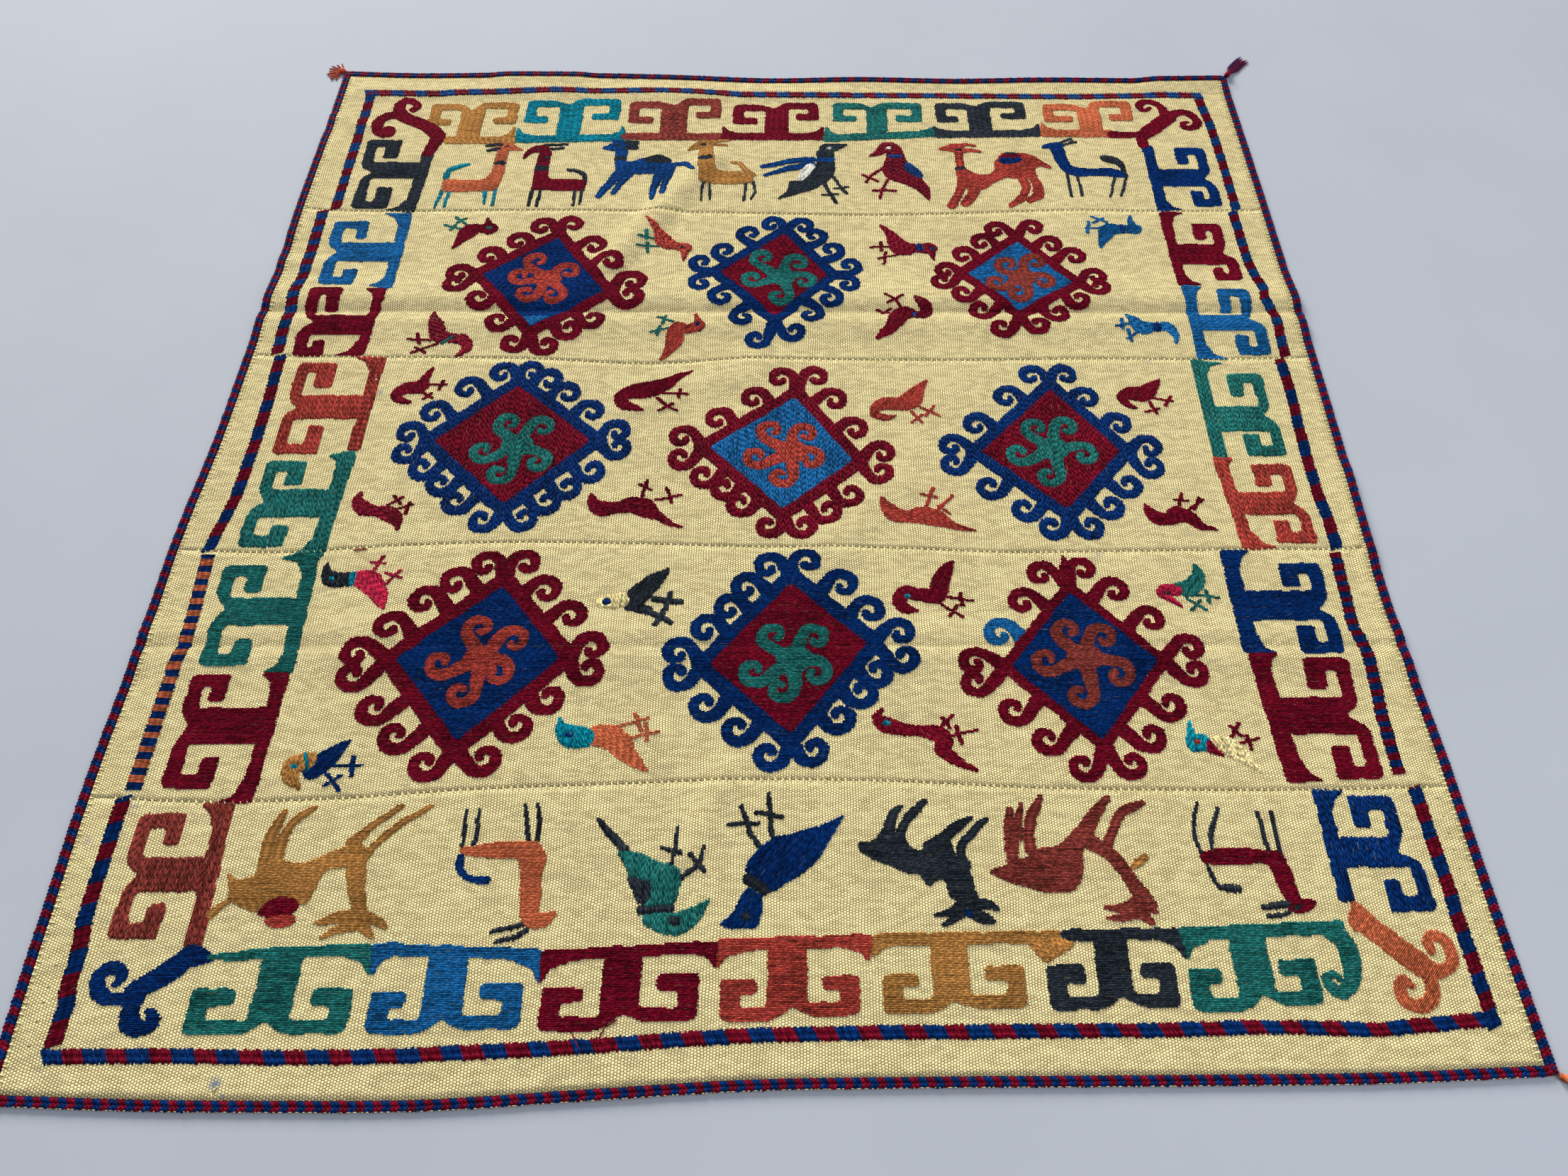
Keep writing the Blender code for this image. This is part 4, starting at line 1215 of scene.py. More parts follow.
# %% Birds
LEG_HALF = 2.2
BIRDS = (
    # wool, strokes of the body; wool and shapes of collar and eye; wool and lines of the legs
    ("crimson", [((-637, 474, 3), (-624, 500, 12), (-612, 522, 17), (-600, 526, 11), (-578, 527, 16)),
     ((-580, 535, 9), (-586, 557, 2))], [("teal", [((-580, 529, 4), (-576, 529, 4))])], ("teal",
     ((-622, 537, -647, 559), (-626, 556, -642, 544), (-632, 525, -664, 537), (-644, 537, -651, 522)))),
    ("rust", [((-276, 552, 3), (-262, 533, 7), (-250, 515, 10), (-240, 492, 17), (-217, 480, 10),
     (-200, 475, 13)), ((-200, 468, 8), (-200, 441, 2))], [("charcoal", [((-205, 475, 3), (-203, 475, 3))])],
     ("teal", ((-259, 499, -289, 501), (-276, 515, -274, 494), (-250, 480, -290, 476),
     (-271, 487, -270, 462)))),
    ("crimson", [((176, 542, 2), (195, 515, 9), (217, 475, 20), (240, 475, 12), (268, 475, 15)),
     ((272, 466, 8), (275, 444, 2))], [("navy", [((243, 465), (257, 466), (256, 487), (241, 487))]), ("navy",
     [((273, 474, 4), (276, 474, 4))])], ("crimson", ((195, 479, 156, 478), (176, 494, 176, 467),
     (212, 459, 169, 447), (185, 464, 179, 432)))),
    ("light blue", [((601, 480, 3), (612, 508, 11), (624, 530, 17), (648, 531, 10), (674, 532, 15)),
     ((672, 542, 8), (670, 570, 2))], [("navy", [((645, 520), (656, 520), (656, 543), (645, 543))]), ("navy",
     [((677, 533, 3), (679, 533, 3))])], ("light blue", ((624, 542, 622, 552), (622, 552, 595, 567),
     (617, 562, 595, 551), (614, 536, 580, 535), (587, 552, 581, 521)))),
    ("crimson", [((-645, 300, 3), (-640, 280, 9), (-634, 262, 14), (-626, 242, 15), (-600, 236, 10),
     (-578, 230, 11), (-574, 215, 10), (-588, 195, 3))], [("teal", [((-603, 239, 3), (-618, 224, 3))])],
     ("crimson", ((-640, 232, -680, 234), (-666, 245, -659, 225), (-625, 225, -670, 202),
     (-665, 217, -645, 202)))),
    ("rust", [((-165, 265, 13), (-185, 257, 9), (-203, 258, 15), (-205, 235, 15), (-215, 205, 9),
     (-227, 187, 3)), ((-166, 274, 7), (-170, 295, 2))], [("navy", [((-168, 268, 4), (-166, 268, 4))])],
     ("teal", ((-210, 276, -240, 286), (-224, 290, -230, 270), (-219, 259, -251, 252),
     (-234, 264, -238, 244)))),
    ("crimson", [((231, 339, 2), (238, 332, 6), (251, 316, 11), (251, 298, 11), (230, 296, 10),
     (212, 298, 17), (185, 262, 12), (162, 240, 5))], [("navy", [((226, 287), (234, 287), (235, 304),
     (226, 303))])], ("crimson", ((207, 312, 195, 330), (195, 330, 177, 346), (210, 341, 180, 322),
     (200, 296, 162, 307), (187, 310, 172, 299)))),
    ("light blue", [((624, 295, 3), (632, 280, 10), (645, 262, 15), (670, 263, 9), (695, 262, 10),
     (705, 245, 7), (704, 226, 2))], [("navy", [((665, 253), (682, 253), (682, 273), (665, 273))])],
     ("light blue", ((627, 271, 599, 265), (610, 284, 611, 260), (639, 254, 615, 237),
     (619, 257, 624, 230)))),
    ("crimson", [((-625, 164, 3), (-635, 140, 9), (-640, 122, 14), (-665, 118, 12), (-678, 106, 10),
     (-672, 93, 8), (-652, 86, 3))], [], ("crimson", ((-625, 126, -597, 127), (-602, 137, -606, 117),
     (-640, 112, -615, 97), (-618, 108, -630, 94)))),
    ("crimson", [((-171, 156, 2), (-195, 142, 8), (-215, 125, 14), (-245, 112, 19), (-275, 108, 16),
     (-290, 96, 12), (-285, 80, 10), (-262, 70, 6), (-252, 66, 2))], [], ("crimson", ((-217, 102, -176, 102),
     (-190, 112, -189, 94), (-227, 92, -210, 75), (-210, 75, -192, 66), (-200, 82, -222, 67)))),
    ("rust", [((242, 134, 3), (225, 112, 12), (212, 90, 19), (190, 82, 15), (165, 82, 13), (150, 72, 9),
     (150, 58, 8), (165, 50, 7), (184, 54, 2))], [], ("rust", ((225, 77, 260, 54), (252, 77, 237, 55),
     (212, 65, 230, 39), (231, 56, 212, 40)))),
    ("crimson", [((656, 135, 3), (640, 118, 12), (625, 105, 17), (600, 105, 14), (585, 97, 10), (590, 82, 7),
     (608, 71, 2))], [], ("crimson", ((637, 95, 671, 87), (671, 97, 659, 77), (632, 85, 640, 60),
     (622, 62, 645, 70)))),
    ("crimson", [((-696, -108, 3), (-698, -122, 8), (-688, -138, 13), (-660, -146, 10), (-645, -150, 15),
     (-628, -165, 9), (-624, -180, 3))], [], ("crimson", ((-647, -132, -627, -116), (-642, -114, -628, -130),
     (-635, -142, -608, -132), (-618, -150, -612, -128)))),
    ("crimson", [((-321, -112, 3), (-318, -128, 9), (-305, -141, 15), (-280, -140, 12), (-250, -135, 17),
     (-235, -140, 18), (-215, -155, 10), (-195, -168, 6), (-171, -180, 2))], [], ("crimson",
     ((-240, -118, -232, -85), (-246, -92, -224, -104), (-217, -125, -175, -114), (-200, -101, -190, -130)))),
    ("rust", [((154, -124, 2), (160, -140, 9), (172, -155, 14), (200, -160, 12), (222, -158, 18),
     (245, -165, 15), (270, -180, 7), (302, -188, 2))], [], ("rust", ((225, -142, 241, -102),
     (220, -115, 244, -121), (245, -147, 272, -117), (247, -139, 264, -154)))),
    ("crimson", [((589, -137, 2), (593, -150, 8), (605, -165, 13), (622, -168, 11), (640, -158, 16),
     (658, -165, 13), (672, -180, 8), (697, -189, 2))], [], ("crimson", ((645, -142, 652, -115),
     (640, -128, 660, -130), (660, -147, 688, -127), (668, -148, 682, -124)))),
    ("magenta", [((-668, -275, 14), (-650, -279, 18), (-638, -292, 16), (-627, -310, 11), (-620, -328, 3))],
     [("charcoal", [((-720, -248, 2), (-719, -262, 7), (-708, -275, 13), (-684, -276, 13))]), ("turquoise",
     [((-681, -289), (-670, -288), (-670, -262), (-681, -263))]), ("turquoise", [((-708, -275, 4),
     (-706, -275, 4))])], ("magenta", ((-646, -262, -636, -232), (-652, -244, -630, -246),
     (-622, -284, -606, -260), (-627, -264, -602, -274)))),
    ("charcoal", [((-240, -321, 15), (-226, -302, 17), (-207, -282, 13), (-189, -262, 3)), ((-240, -330, 8),
     (-214, -336, 8))], [("cream", [((-286, -322, 8), (-270, -320, 12), (-257, -317, 13))]), ("navy",
     [((-285, -327), (-273, -327), (-273, -315), (-285, -315))]), ("charcoal", [((-207, -316, 5),
     (-164, -321, 4.4)), ((-182, -306, 4.4), (-186, -332, 4.4)), ((-217, -335, 5), (-178, -359, 4.4)),
     ((-190, -337, 4.4), (-201, -362, 4.4))])], ("charcoal", ((-207, -316, -164, -321),))),
    ("crimson", [((202, -341, 2), (186, -338, 8), (174, -325, 10), (179, -309, 12), (208, -310, 11),
     (232, -312, 15), (240, -288, 14), (250, -266, 11), (262, -250, 3))], [("turquoise", [((186, -314, 4),
     (188, -313, 4))])], ("crimson", ((250, -315, 288, -322), (270, -307, 272, -332), (235, -325, 271, -352),
     (250, -350, 264, -330)))),
    ("teal", [((615, -303, 11), (635, -300, 15), (650, -280, 11), (649, -255, 2))], [("magenta",
     [((612, -307, 9), (597, -303, 10), (585, -309, 7), (597, -319, 6), (615, -334, 2))]), ("charcoal",
     [((597, -311, 3), (599, -311, 3))])], ("teal", ((637, -312, 676, -320), (658, -306, 660, -330),
     (625, -320, 652, -342), (630, -342, 646, -324)))),
    ("navy", [((-665, -592, 17), (-648, -577, 14), (-634, -562, 8), (-624, -552, 2))], [("ochre",
     [((-678, -582, 14), (-697, -590, 13), (-695, -605, 11), (-680, -622, 3))]), ("turquoise",
     [((-681, -571, 2.7), (-673, -597, 2.7))]), ("turquoise", [((-696, -591, 4), (-693, -591, 4))])], ("navy",
     ((-642, -590, -600, -589), (-614, -576, -611, -606), (-647, -600, -624, -627),
     (-626, -605, -645, -620)))),
    ("orange", [((-283, -549, 13), (-262, -548, 19), (-245, -555, 18), (-225, -580, 12), (-200, -600, 3))],
     [("turquoise", [((-329, -519, 2), (-326, -532, 8), (-312, -547, 17), (-290, -550, 14))]), ("navy",
     [((-318, -547, 3), (-310, -547, 3))])], ("orange", ((-252, -535, -202, -521), (-220, -512, -210, -540),
     (-230, -552, -187, -541), (-204, -528, -200, -556)))),
    ("crimson", [((140, -508, 2), (133, -525, 8), (142, -533, 12), (165, -540, 10), (195, -545, 9),
     (215, -548, 12), (228, -555, 13), (225, -575, 11), (245, -592, 8), (270, -607, 3))], [("turquoise",
     [((144, -532, 4), (147, -532, 4))])], ("crimson", ((222, -542, 243, -520), (228, -523, 238, -540),
     (235, -553, 278, -544), (247, -537, 254, -566)))),
    ("turquoise", [((591, -534, 2), (591, -552, 6)), ((580, -555), (604, -552), (616, -560), (614, -580),
     (592, -583), (580, -576))], [("crimson", [((612, -560), (634, -590), (608, -582))]), ("rust",
     [((595, -566, 4), (598, -566, 4))]), ("cream", [((617, -558), (650, -560), (664, -578), (683, -616),
     (655, -598), (634, -588))])], ("crimson", ((650, -558, 662, -538), (664, -557, 650, -542),
     (652, -571, 689, -561), (671, -555, 674, -579)))),
)


def legs(lines):
    """A thin stroke along each line; the first of each pair is the leg, the second its foot."""
    return [[(u0, v0, LEG_HALF), (u1, v1, LEG_HALF)] for u0, v0, u1, v1 in lines]


for wool, body, details, (leg_wool, leg_lines) in BIRDS:
    layer(leg_wool, legs(leg_lines))
    tail_to_head = np.subtract(body[0][-1], body[0][0])
    slope = np.degrees(np.arctan2(tail_to_head[1], tail_to_head[0]))
    layer(wool, body, float(slope))
    for detail_wool, shapes in details:
        layer(detail_wool, shapes, 90)
print("with birds:", len(LAYERS))

# %% [markdown]
# ## The upper row of animals
# Along the top strip walk deer, a hound, a magpie, a parrot and a camel. Bodies are broad strokes or
# outlines, legs narrow strokes, and collars and saddles are laid over them in another wool.

# %% Upper animals
UPPER_ANIMALS = (
    # wool, stitch angle, shapes
    ("turquoise", 90, ((-684, 672, 5), (-681, 698, 6), (-665, 708, 6), (-646, 717, 3)), ((-685, 645, 4),
     (-689, 610, 3.4), (-693, 586, 3)), ((-670, 640, 4), (-675, 592, 3)), ((-602, 634, 4), (-597, 600, 3)),
     ((-582, 645, 4), (-582, 595, 3))),
    ("orange", 0, ((-687, 634), (-660, 632), (-600, 636), (-578, 640), (-572, 700), (-573, 752), (-594, 752),
     (-596, 690), (-606, 671), (-650, 668), (-687, 671)), ((-590, 775, 11), (-572, 771, 10), (-546, 764, 3)),
     ((-583, 750, 10), (-583, 772, 10))),
    ("charcoal", 0, ((-595, 713), (-572, 713), (-572, 726), (-595, 726)), ((-618, 775, 3), (-600, 778, 5),
     (-590, 777, 5)), ((-614, 760, 3), (-598, 763, 5), (-590, 764, 4)), ((-577, 772, 3), (-575, 772, 3))),
    ("charcoal", 90, ((-409, 662, 5), (-411, 683, 5), (-423, 696, 5), (-445, 701, 3)), ((-508, 647, 4),
     (-511, 595, 3)), ((-494, 640, 4), (-495, 594, 3)), ((-425, 642, 4), (-425, 597, 3)), ((-411, 647, 4),
     (-413, 600, 3)), ((-500, 777, 3), (-454, 782, 2.5)), ((-485, 766, 3), (-460, 770, 2.5))),
    ("crimson", 0, ((-512, 640), (-460, 638), (-409, 638), (-407, 670), (-440, 672), (-482, 674), (-486, 700),
     (-485, 752), (-509, 752), (-511, 700)), ((-537, 738, 3), (-525, 760, 8), (-503, 765, 12),
     (-494, 750, 11))),
    ("charcoal", 0, ((-498, 735), (-485, 735), (-485, 742), (-498, 742)), ((-511, 697), (-485, 697),
     (-485, 714), (-511, 714)), ((-513, 764, 3), (-511, 764, 3))),
    ("blue", 0, ((-347, 775, 17), (-362, 773, 12), (-378, 769, 5)), ((-362, 795, 3), (-350, 785, 8)),
     ((-344, 770, 12), (-343, 738, 11), (-340, 710, 12)), ((-347, 690), (-345, 726), (-320, 728), (-298, 740),
     (-275, 736), (-240, 726), (-232, 712), (-235, 690)), ((-340, 695, 11), (-362, 655, 8), (-378, 622, 6)),
     ((-322, 692, 9), (-338, 660, 6), (-350, 632, 5)), ((-262, 694, 10), (-270, 650, 7), (-273, 615, 5)),
     ((-243, 694, 9), (-250, 660, 7), (-253, 629, 5)), ((-238, 718, 6), (-212, 721, 6), (-195, 697, 3))),
    ("charcoal", 0, ((-356, 729), (-331, 729), (-331, 742), (-356, 742)), ((-335, 787, 6), (-318, 786, 8)),
     ((-335, 772, 5), (-317, 772, 7)), ((-298, 738), (-268, 751), (-240, 735), (-240, 726), (-270, 722),
     (-300, 728)), ((-353, 777, 3.5), (-350, 777, 3.5))),
    ("charcoal", 90, ((-173, 668, 3), (-176, 614, 2.4)), ((-161, 662, 3), (-158, 615, 2.4)), ((-87, 662, 3),
     (-92, 611, 2.4)), ((-74, 665, 3), (-68, 637, 2.4), (-78, 615, 2.4))),
    ("ochre", 0, ((-185, 788), (-160, 788), (-157, 740), (-150, 700), (-78, 697), (-74, 664), (-120, 660),
     (-181, 661), (-185, 720)), ((-177, 787, 13), (-190, 778, 9), (-206, 766, 3)), ((-163, 793, 4),
     (-128, 796, 2.6)), ((-161, 785, 4), (-131, 780, 2.6)), ((-74, 688, 5), (-92, 706, 5), (-102, 724, 4),
     (-117, 726, 3))),
    ("charcoal", 0, ((-186, 725), (-157, 725), (-158, 738), (-186, 738)), ((-179, 782, 4), (-175, 783, 4))),
    ("charcoal", 0, ((87, 684, 3), (99, 657, 3), (111, 634, 3)), ((90, 648, 2.6), (115, 653, 2.6)),
     ((69, 662, 3), (81, 632, 3), (92, 605, 3)), ((65, 629, 2.6), (95, 630, 2.6)), ((74, 772, 15),
     (90, 776, 12), (113, 784, 3)), ((55, 765), (88, 765), (90, 700), (86, 685), (74, 670), (51, 647),
     (18, 632), (-25, 614), (-5, 642), (0, 670), (26, 672), (41, 688), (46, 700), (55, 730))),
    ("blue", 10, ((44, 737, 8), (0, 731, 8), (-55, 714, 5)), ((44, 721, 8), (0, 710, 8), (-48, 688, 4)),
     ((53, 729), (90, 729), (90, 743), (54, 743))),
    ("white", 45, ((40, 714, 10), (28, 690, 10), (20, 676, 6)), ((77, 772, 4), (81, 772, 4))),
    ("crimson", 90, ((188, 711, 3), (164, 690, 3), (154, 668, 3)), ((147, 690, 2.6), (175, 671, 2.6)),
     ((197, 678, 3), (184, 645, 3), (179, 621, 3)), ((166, 643, 2.6), (211, 642, 2.6)), ((164, 749, 2),
     (180, 760, 9), (203, 779, 15), (215, 768, 15)), ((199, 772), (230, 767), (236, 735), (250, 705),
     (266, 678), (281, 647), (278, 609), (263, 632), (248, 652), (205, 675), (190, 690), (187, 715),
     (196, 745))),
    ("blue", 90, ((200, 743), (230, 743), (229, 753), (200, 753)), ((232, 727), (243, 727), (258, 711),
     (268, 692), (266, 680), (255, 682), (240, 695), (231, 712))),
    ("white", 0, ((201, 775, 4), (204, 775, 4))),
    ("rust", 0, ((347, 771, 12), (329, 775, 9), (311, 773, 4)), ((333, 782, 6), (360, 787, 5), (380, 784, 3)),
     ((350, 765, 7), (372, 769, 5), (390, 765, 3)), ((337, 770), (355, 770), (353, 716), (367, 700),
     (386, 691), (404, 693), (417, 708), (417, 729), (431, 757), (451, 764), (481, 760), (503, 750),
     (522, 728), (533, 717), (529, 710), (512, 720), (497, 714), (497, 682), (460, 682), (434, 684),
     (412, 671), (390, 648), (355, 648), (337, 660), (338, 700)), ((347, 672, 9), (335, 628, 8),
     (320, 598, 9)), ((376, 666, 13), (365, 632, 11), (348, 604, 9)), ((468, 688, 9), (474, 652, 8),
     (462, 622, 8), (438, 599, 5)), ((489, 692, 9), (498, 652, 10), (494, 628, 10), (477, 615, 7))),
    ("crimson", 0, ((425, 742), (436, 756), (470, 757), (474, 744), (450, 738))),
    ("charcoal", 0, ((436, 756), (444, 763), (458, 764), (470, 757), (452, 756)), ((335, 706), (357, 706),
     (357, 716), (335, 716)), ((346, 770, 5), (349, 770, 5))),
    ("navy", 0, ((426, 740), (431, 727), (450, 724), (472, 731), (475, 746), (430, 747))),
    ("charcoal", 90, ((562, 696, 3), (563, 628, 2.6)), ((582, 693, 3), (585, 631, 2.6)), ((658, 687, 3),
     (650, 655, 2.6), (641, 629, 2.6)), ((681, 685, 3), (672, 655, 2.6), (664, 631, 2.6)), ((681, 690, 5),
     (679, 718, 6), (668, 737, 10), (645, 746, 9))),
    ("charcoal", 0, ((560, 794, 3), (583, 808, 2.4)), ((560, 786, 3), (593, 798, 2.4)), ((577, 792, 2.4),
     (586, 801, 2.4))),
    ("navy", 0, ((554, 787, 9), (540, 785, 8), (526, 781, 6)), ((537, 788), (560, 793), (564, 775),
     (567, 745), (574, 720), (592, 713), (655, 714), (673, 708), (683, 690), (676, 685), (640, 690),
     (585, 689), (567, 693), (556, 704), (547, 724), (541, 748))),
)
draw(UPPER_ANIMALS)
print("with upper animals:", len(LAYERS))

# %% [markdown]
# ## The lower row of animals
# The animals of the lowest strip stand on their heads from here: the rug was worked from both ends.

# %% Lower animals
LOWER_ANIMALS = (
    # wool, stitch angle, shapes
    ("ochre", 0, ((-701, -740, 7), (-702, -707, 7.5), (-699, -682, 7), (-690, -658, 4)), ((-685, -730, 7),
     (-686, -707, 7.5), (-680, -682, 6.5), (-665, -662, 5), (-650, -651, 3)), ((-590, -705, 8),
     (-565, -678, 5), (-533, -653, 4)), ((-570, -725, 6), (-550, -697, 5), (-522, -672, 5), (-490, -651, 3)),
     ((-580, -725, 12), (-575, -750, 12), (-569, -775, 10), (-562, -800, 10), (-590, -807, 8),
     (-617, -814, 2)), ((-562, -815, 9), (-590, -824, 5), (-604, -831, 2)), ((-555, -803, 8), (-535, -812, 6),
     (-523, -820, 2)), ((-558, -815, 9), (-545, -826, 6), (-536, -832, 2)), ((-738, -784, 4),
     (-753, -799, 6)), ((-747, -741), (-740, -750), (-727, -753), (-710, -750), (-707, -730), (-677, -725),
     (-665, -731), (-647, -732), (-600, -710), (-585, -700), (-570, -712), (-568, -730), (-605, -740),
     (-614, -738), (-622, -752), (-628, -775), (-634, -789), (-650, -789), (-665, -778), (-680, -790),
     (-697, -798), (-717, -790), (-735, -782), (-738, -770), (-742, -755))),
    ("crimson", 0, ((-695, -798), (-685, -782), (-667, -776), (-647, -780), (-640, -792), (-648, -801),
     (-680, -806))),
    ("rust", 0, ((-684, -806), (-644, -800), (-641, -810), (-655, -819), (-672, -819))),
    ("charcoal", 90, ((-440, -710, 3), (-442, -659, 2.6)), ((-425, -709, 3.5), (-423, -682, 3.5),
     (-425, -659, 2)), ((-351, -703, 3), (-358, -675, 3), (-362, -652, 2)), ((-340, -703, 3), (-340, -677, 4),
     (-344, -652, 2)), ((-345, -819, 3), (-384, -827, 2.5)), ((-338, -826, 3), (-355, -837, 3),
     (-378, -841, 2))),
    ("navy", 0, ((-439, -727, 5), (-440, -740, 5), (-430, -752, 4), (-415, -757, 5), (-402, -758, 6))),
    ("orange", 0, ((-442, -712), (-390, -705), (-340, -703), (-325, -725), (-328, -760), (-326, -803),
     (-350, -803), (-355, -760), (-361, -728), (-410, -728), (-440, -722)), ((-350, -798), (-327, -803),
     (-300, -803), (-306, -812), (-314, -823), (-335, -826), (-346, -817))),
    ("teal", 90, ((-231, -717), (-209, -720), (-175, -735), (-150, -742), (-140, -755), (-143, -780),
     (-150, -797), (-188, -797), (-197, -785), (-212, -752), (-222, -735)), ((-190, -807), (-150, -807),
     (-125, -800), (-98, -786), (-105, -800), (-110, -812), (-125, -829), (-145, -837), (-165, -832),
     (-187, -820))),
    ("charcoal", 90, ((-264, -671), (-254, -675), (-235, -695), (-209, -720), (-219, -722), (-230, -717),
     (-245, -700)), ((-214, -755), (-200, -757), (-182, -764), (-179, -775), (-182, -790), (-194, -796),
     (-200, -785), (-210, -767)), ((-198, -796), (-147, -796), (-147, -806), (-198, -807)), ((-148, -817, 6),
     (-143, -817, 6)), ((-155, -741, 2.4), (-151, -725, 3), (-149, -687, 2.2)), ((-169, -716, 2.5),
     (-141, -726, 2.5)), ((-141, -760, 2.4), (-118, -740, 3), (-112, -717, 2.2)), ((-130, -727, 2.5),
     (-109, -751, 2.5))),
    ("navy", 50, ((-56, -751), (-50, -735), (-36, -717), (-17, -704), (17, -696), (52, -685), (82, -671),
     (75, -685), (62, -705), (50, -727), (30, -750), (-5, -771), (-17, -780)), ((-52, -772), (-32, -786),
     (-31, -807), (-37, -829), (-70, -828), (-88, -822), (-72, -810), (-62, -792))),
    ("charcoal", 50, ((-56, -751), (-35, -762), (-17, -777), (-29, -787), (-50, -772), (-58, -765)),
     ((-54, -812, 5), (-50, -812, 5)), ((-37, -716, 2.6), (-50, -695, 3), (-63, -655, 2.2)),
     ((-79, -684, 2.6), (-40, -683, 2.6)), ((-19, -702, 3.4), (-21, -682, 3), (-25, -638, 2.2)),
     ((-41, -667, 2.8), (-7, -673, 2.8))),
    ("charcoal", 0, ((101, -709), (112, -713), (125, -708), (132, -698), (160, -702), (165, -710),
     (170, -722), (185, -725), (200, -716), (212, -708), (226, -705), (228, -722), (232, -735), (245, -741),
     (248, -752), (247, -768), (252, -785), (222, -795), (215, -764), (202, -767), (192, -777), (187, -767),
     (182, -757), (170, -757), (150, -750), (120, -736), (101, -725)), ((235, -750, 12), (240, -775, 13),
     (243, -800, 14), (215, -812, 5), (199, -815, 2)), ((140, -705, 10), (143, -687, 7), (150, -670, 6),
     (161, -660, 3)), ((155, -705, 7), (165, -685, 6), (180, -667, 6), (194, -653, 4)), ((200, -722, 12),
     (219, -706, 8), (235, -692, 7), (256, -678, 3)), ((245, -746, 7), (239, -733, 6), (244, -715, 6),
     (255, -703, 6), (267, -690, 6), (279, -680, 3)), ((240, -810, 6), (222, -820, 5), (211, -827, 3)),
     ((250, -800, 10), (270, -801, 7), (281, -806, 4)), ((250, -812, 8), (265, -820, 8), (274, -824, 4))),
    ("navy", 0, ((243, -811, 5), (245, -811, 5))),
    ("dark rust", 0, ((274, -756), (290, -750), (305, -745), (330, -735), (350, -723), (365, -722),
     (380, -717), (400, -700), (420, -690), (412, -715), (408, -727), (405, -750), (400, -770), (390, -785),
     (360, -786), (330, -780), (305, -772)), ((310, -740, 8), (311, -712, 9), (311, -687, 8), (313, -665, 4)),
     ((322, -712, 2.5), (324, -682, 5), (329, -658, 2)), ((337, -725, 8), (336, -705, 7), (341, -680, 7),
     (355, -655, 5), (359, -647, 2)), ((405, -712, 14), (420, -692, 11), (435, -670, 8), (453, -650, 4)),
     ((442, -722, 8), (453, -700, 6), (460, -685, 6), (476, -670, 7), (502, -659, 4)), ((410, -710, 12),
     (435, -725, 10), (455, -745, 9), (468, -770, 9), (478, -795, 11), (455, -808, 7), (429, -807, 3)),
     ((478, -812, 9), (450, -821, 6), (429, -820, 2)), ((480, -790, 12), (487, -805, 11), (497, -816, 2)),
     ((475, -815, 8), (484, -825, 5), (488, -831, 2))),
    ("ochre", 0, ((474, -752, 3), (482, -745, 6), (492, -738, 5))),
    ("crimson", 0, ((569, -733), (590, -727), (616, -726), (642, -727), (668, -731), (684, -734), (690, -765),
     (695, -801), (674, -801), (668, -778), (664, -750), (572, -750)), ((674, -798), (712, -799), (715, -807),
     (704, -816), (691, -820), (680, -817), (673, -808))),
    ("charcoal", 90, ((674, -805, 4.5), (660, -808, 4.5), (640, -810, 2)), ((676, -816, 2.5),
     (663, -821, 2.5), (644, -821.5, 2)), ((576.5, -751, 2.5), (581, -766, 3), (589, -782, 3),
     (600, -783, 5.5), (613, -785, 4)), ((570.5, -731, 2.5), (567, -714, 3), (570, -686, 3), (579, -661, 2)),
     ((587, -727, 2.5), (590, -709, 3.5), (598, -688, 3), (607, -668, 2.5)), ((665, -730, 3),
     (664, -704, 3.5), (662, -676, 3)), ((680.5, -733, 3), (681, -704, 3.5), (681.5, -677, 3))),
    ("charcoal", 0, ((682, -812, 2.6), (693, -809, 3))),
)
draw(LOWER_ANIMALS)
print("with lower animals:", len(LAYERS))

# %% [markdown]
# ## The inner stripe
# A hand's breadth inside the edge runs a narrow stripe of crimson and blue blocks, filled with short
# stitches across it. Strip by strip it starts a little further in or out, since it was worked before
# the strips were sewn together. Block lengths come from the photo: a usual length for each stretch,
# give or take a few millimetres.

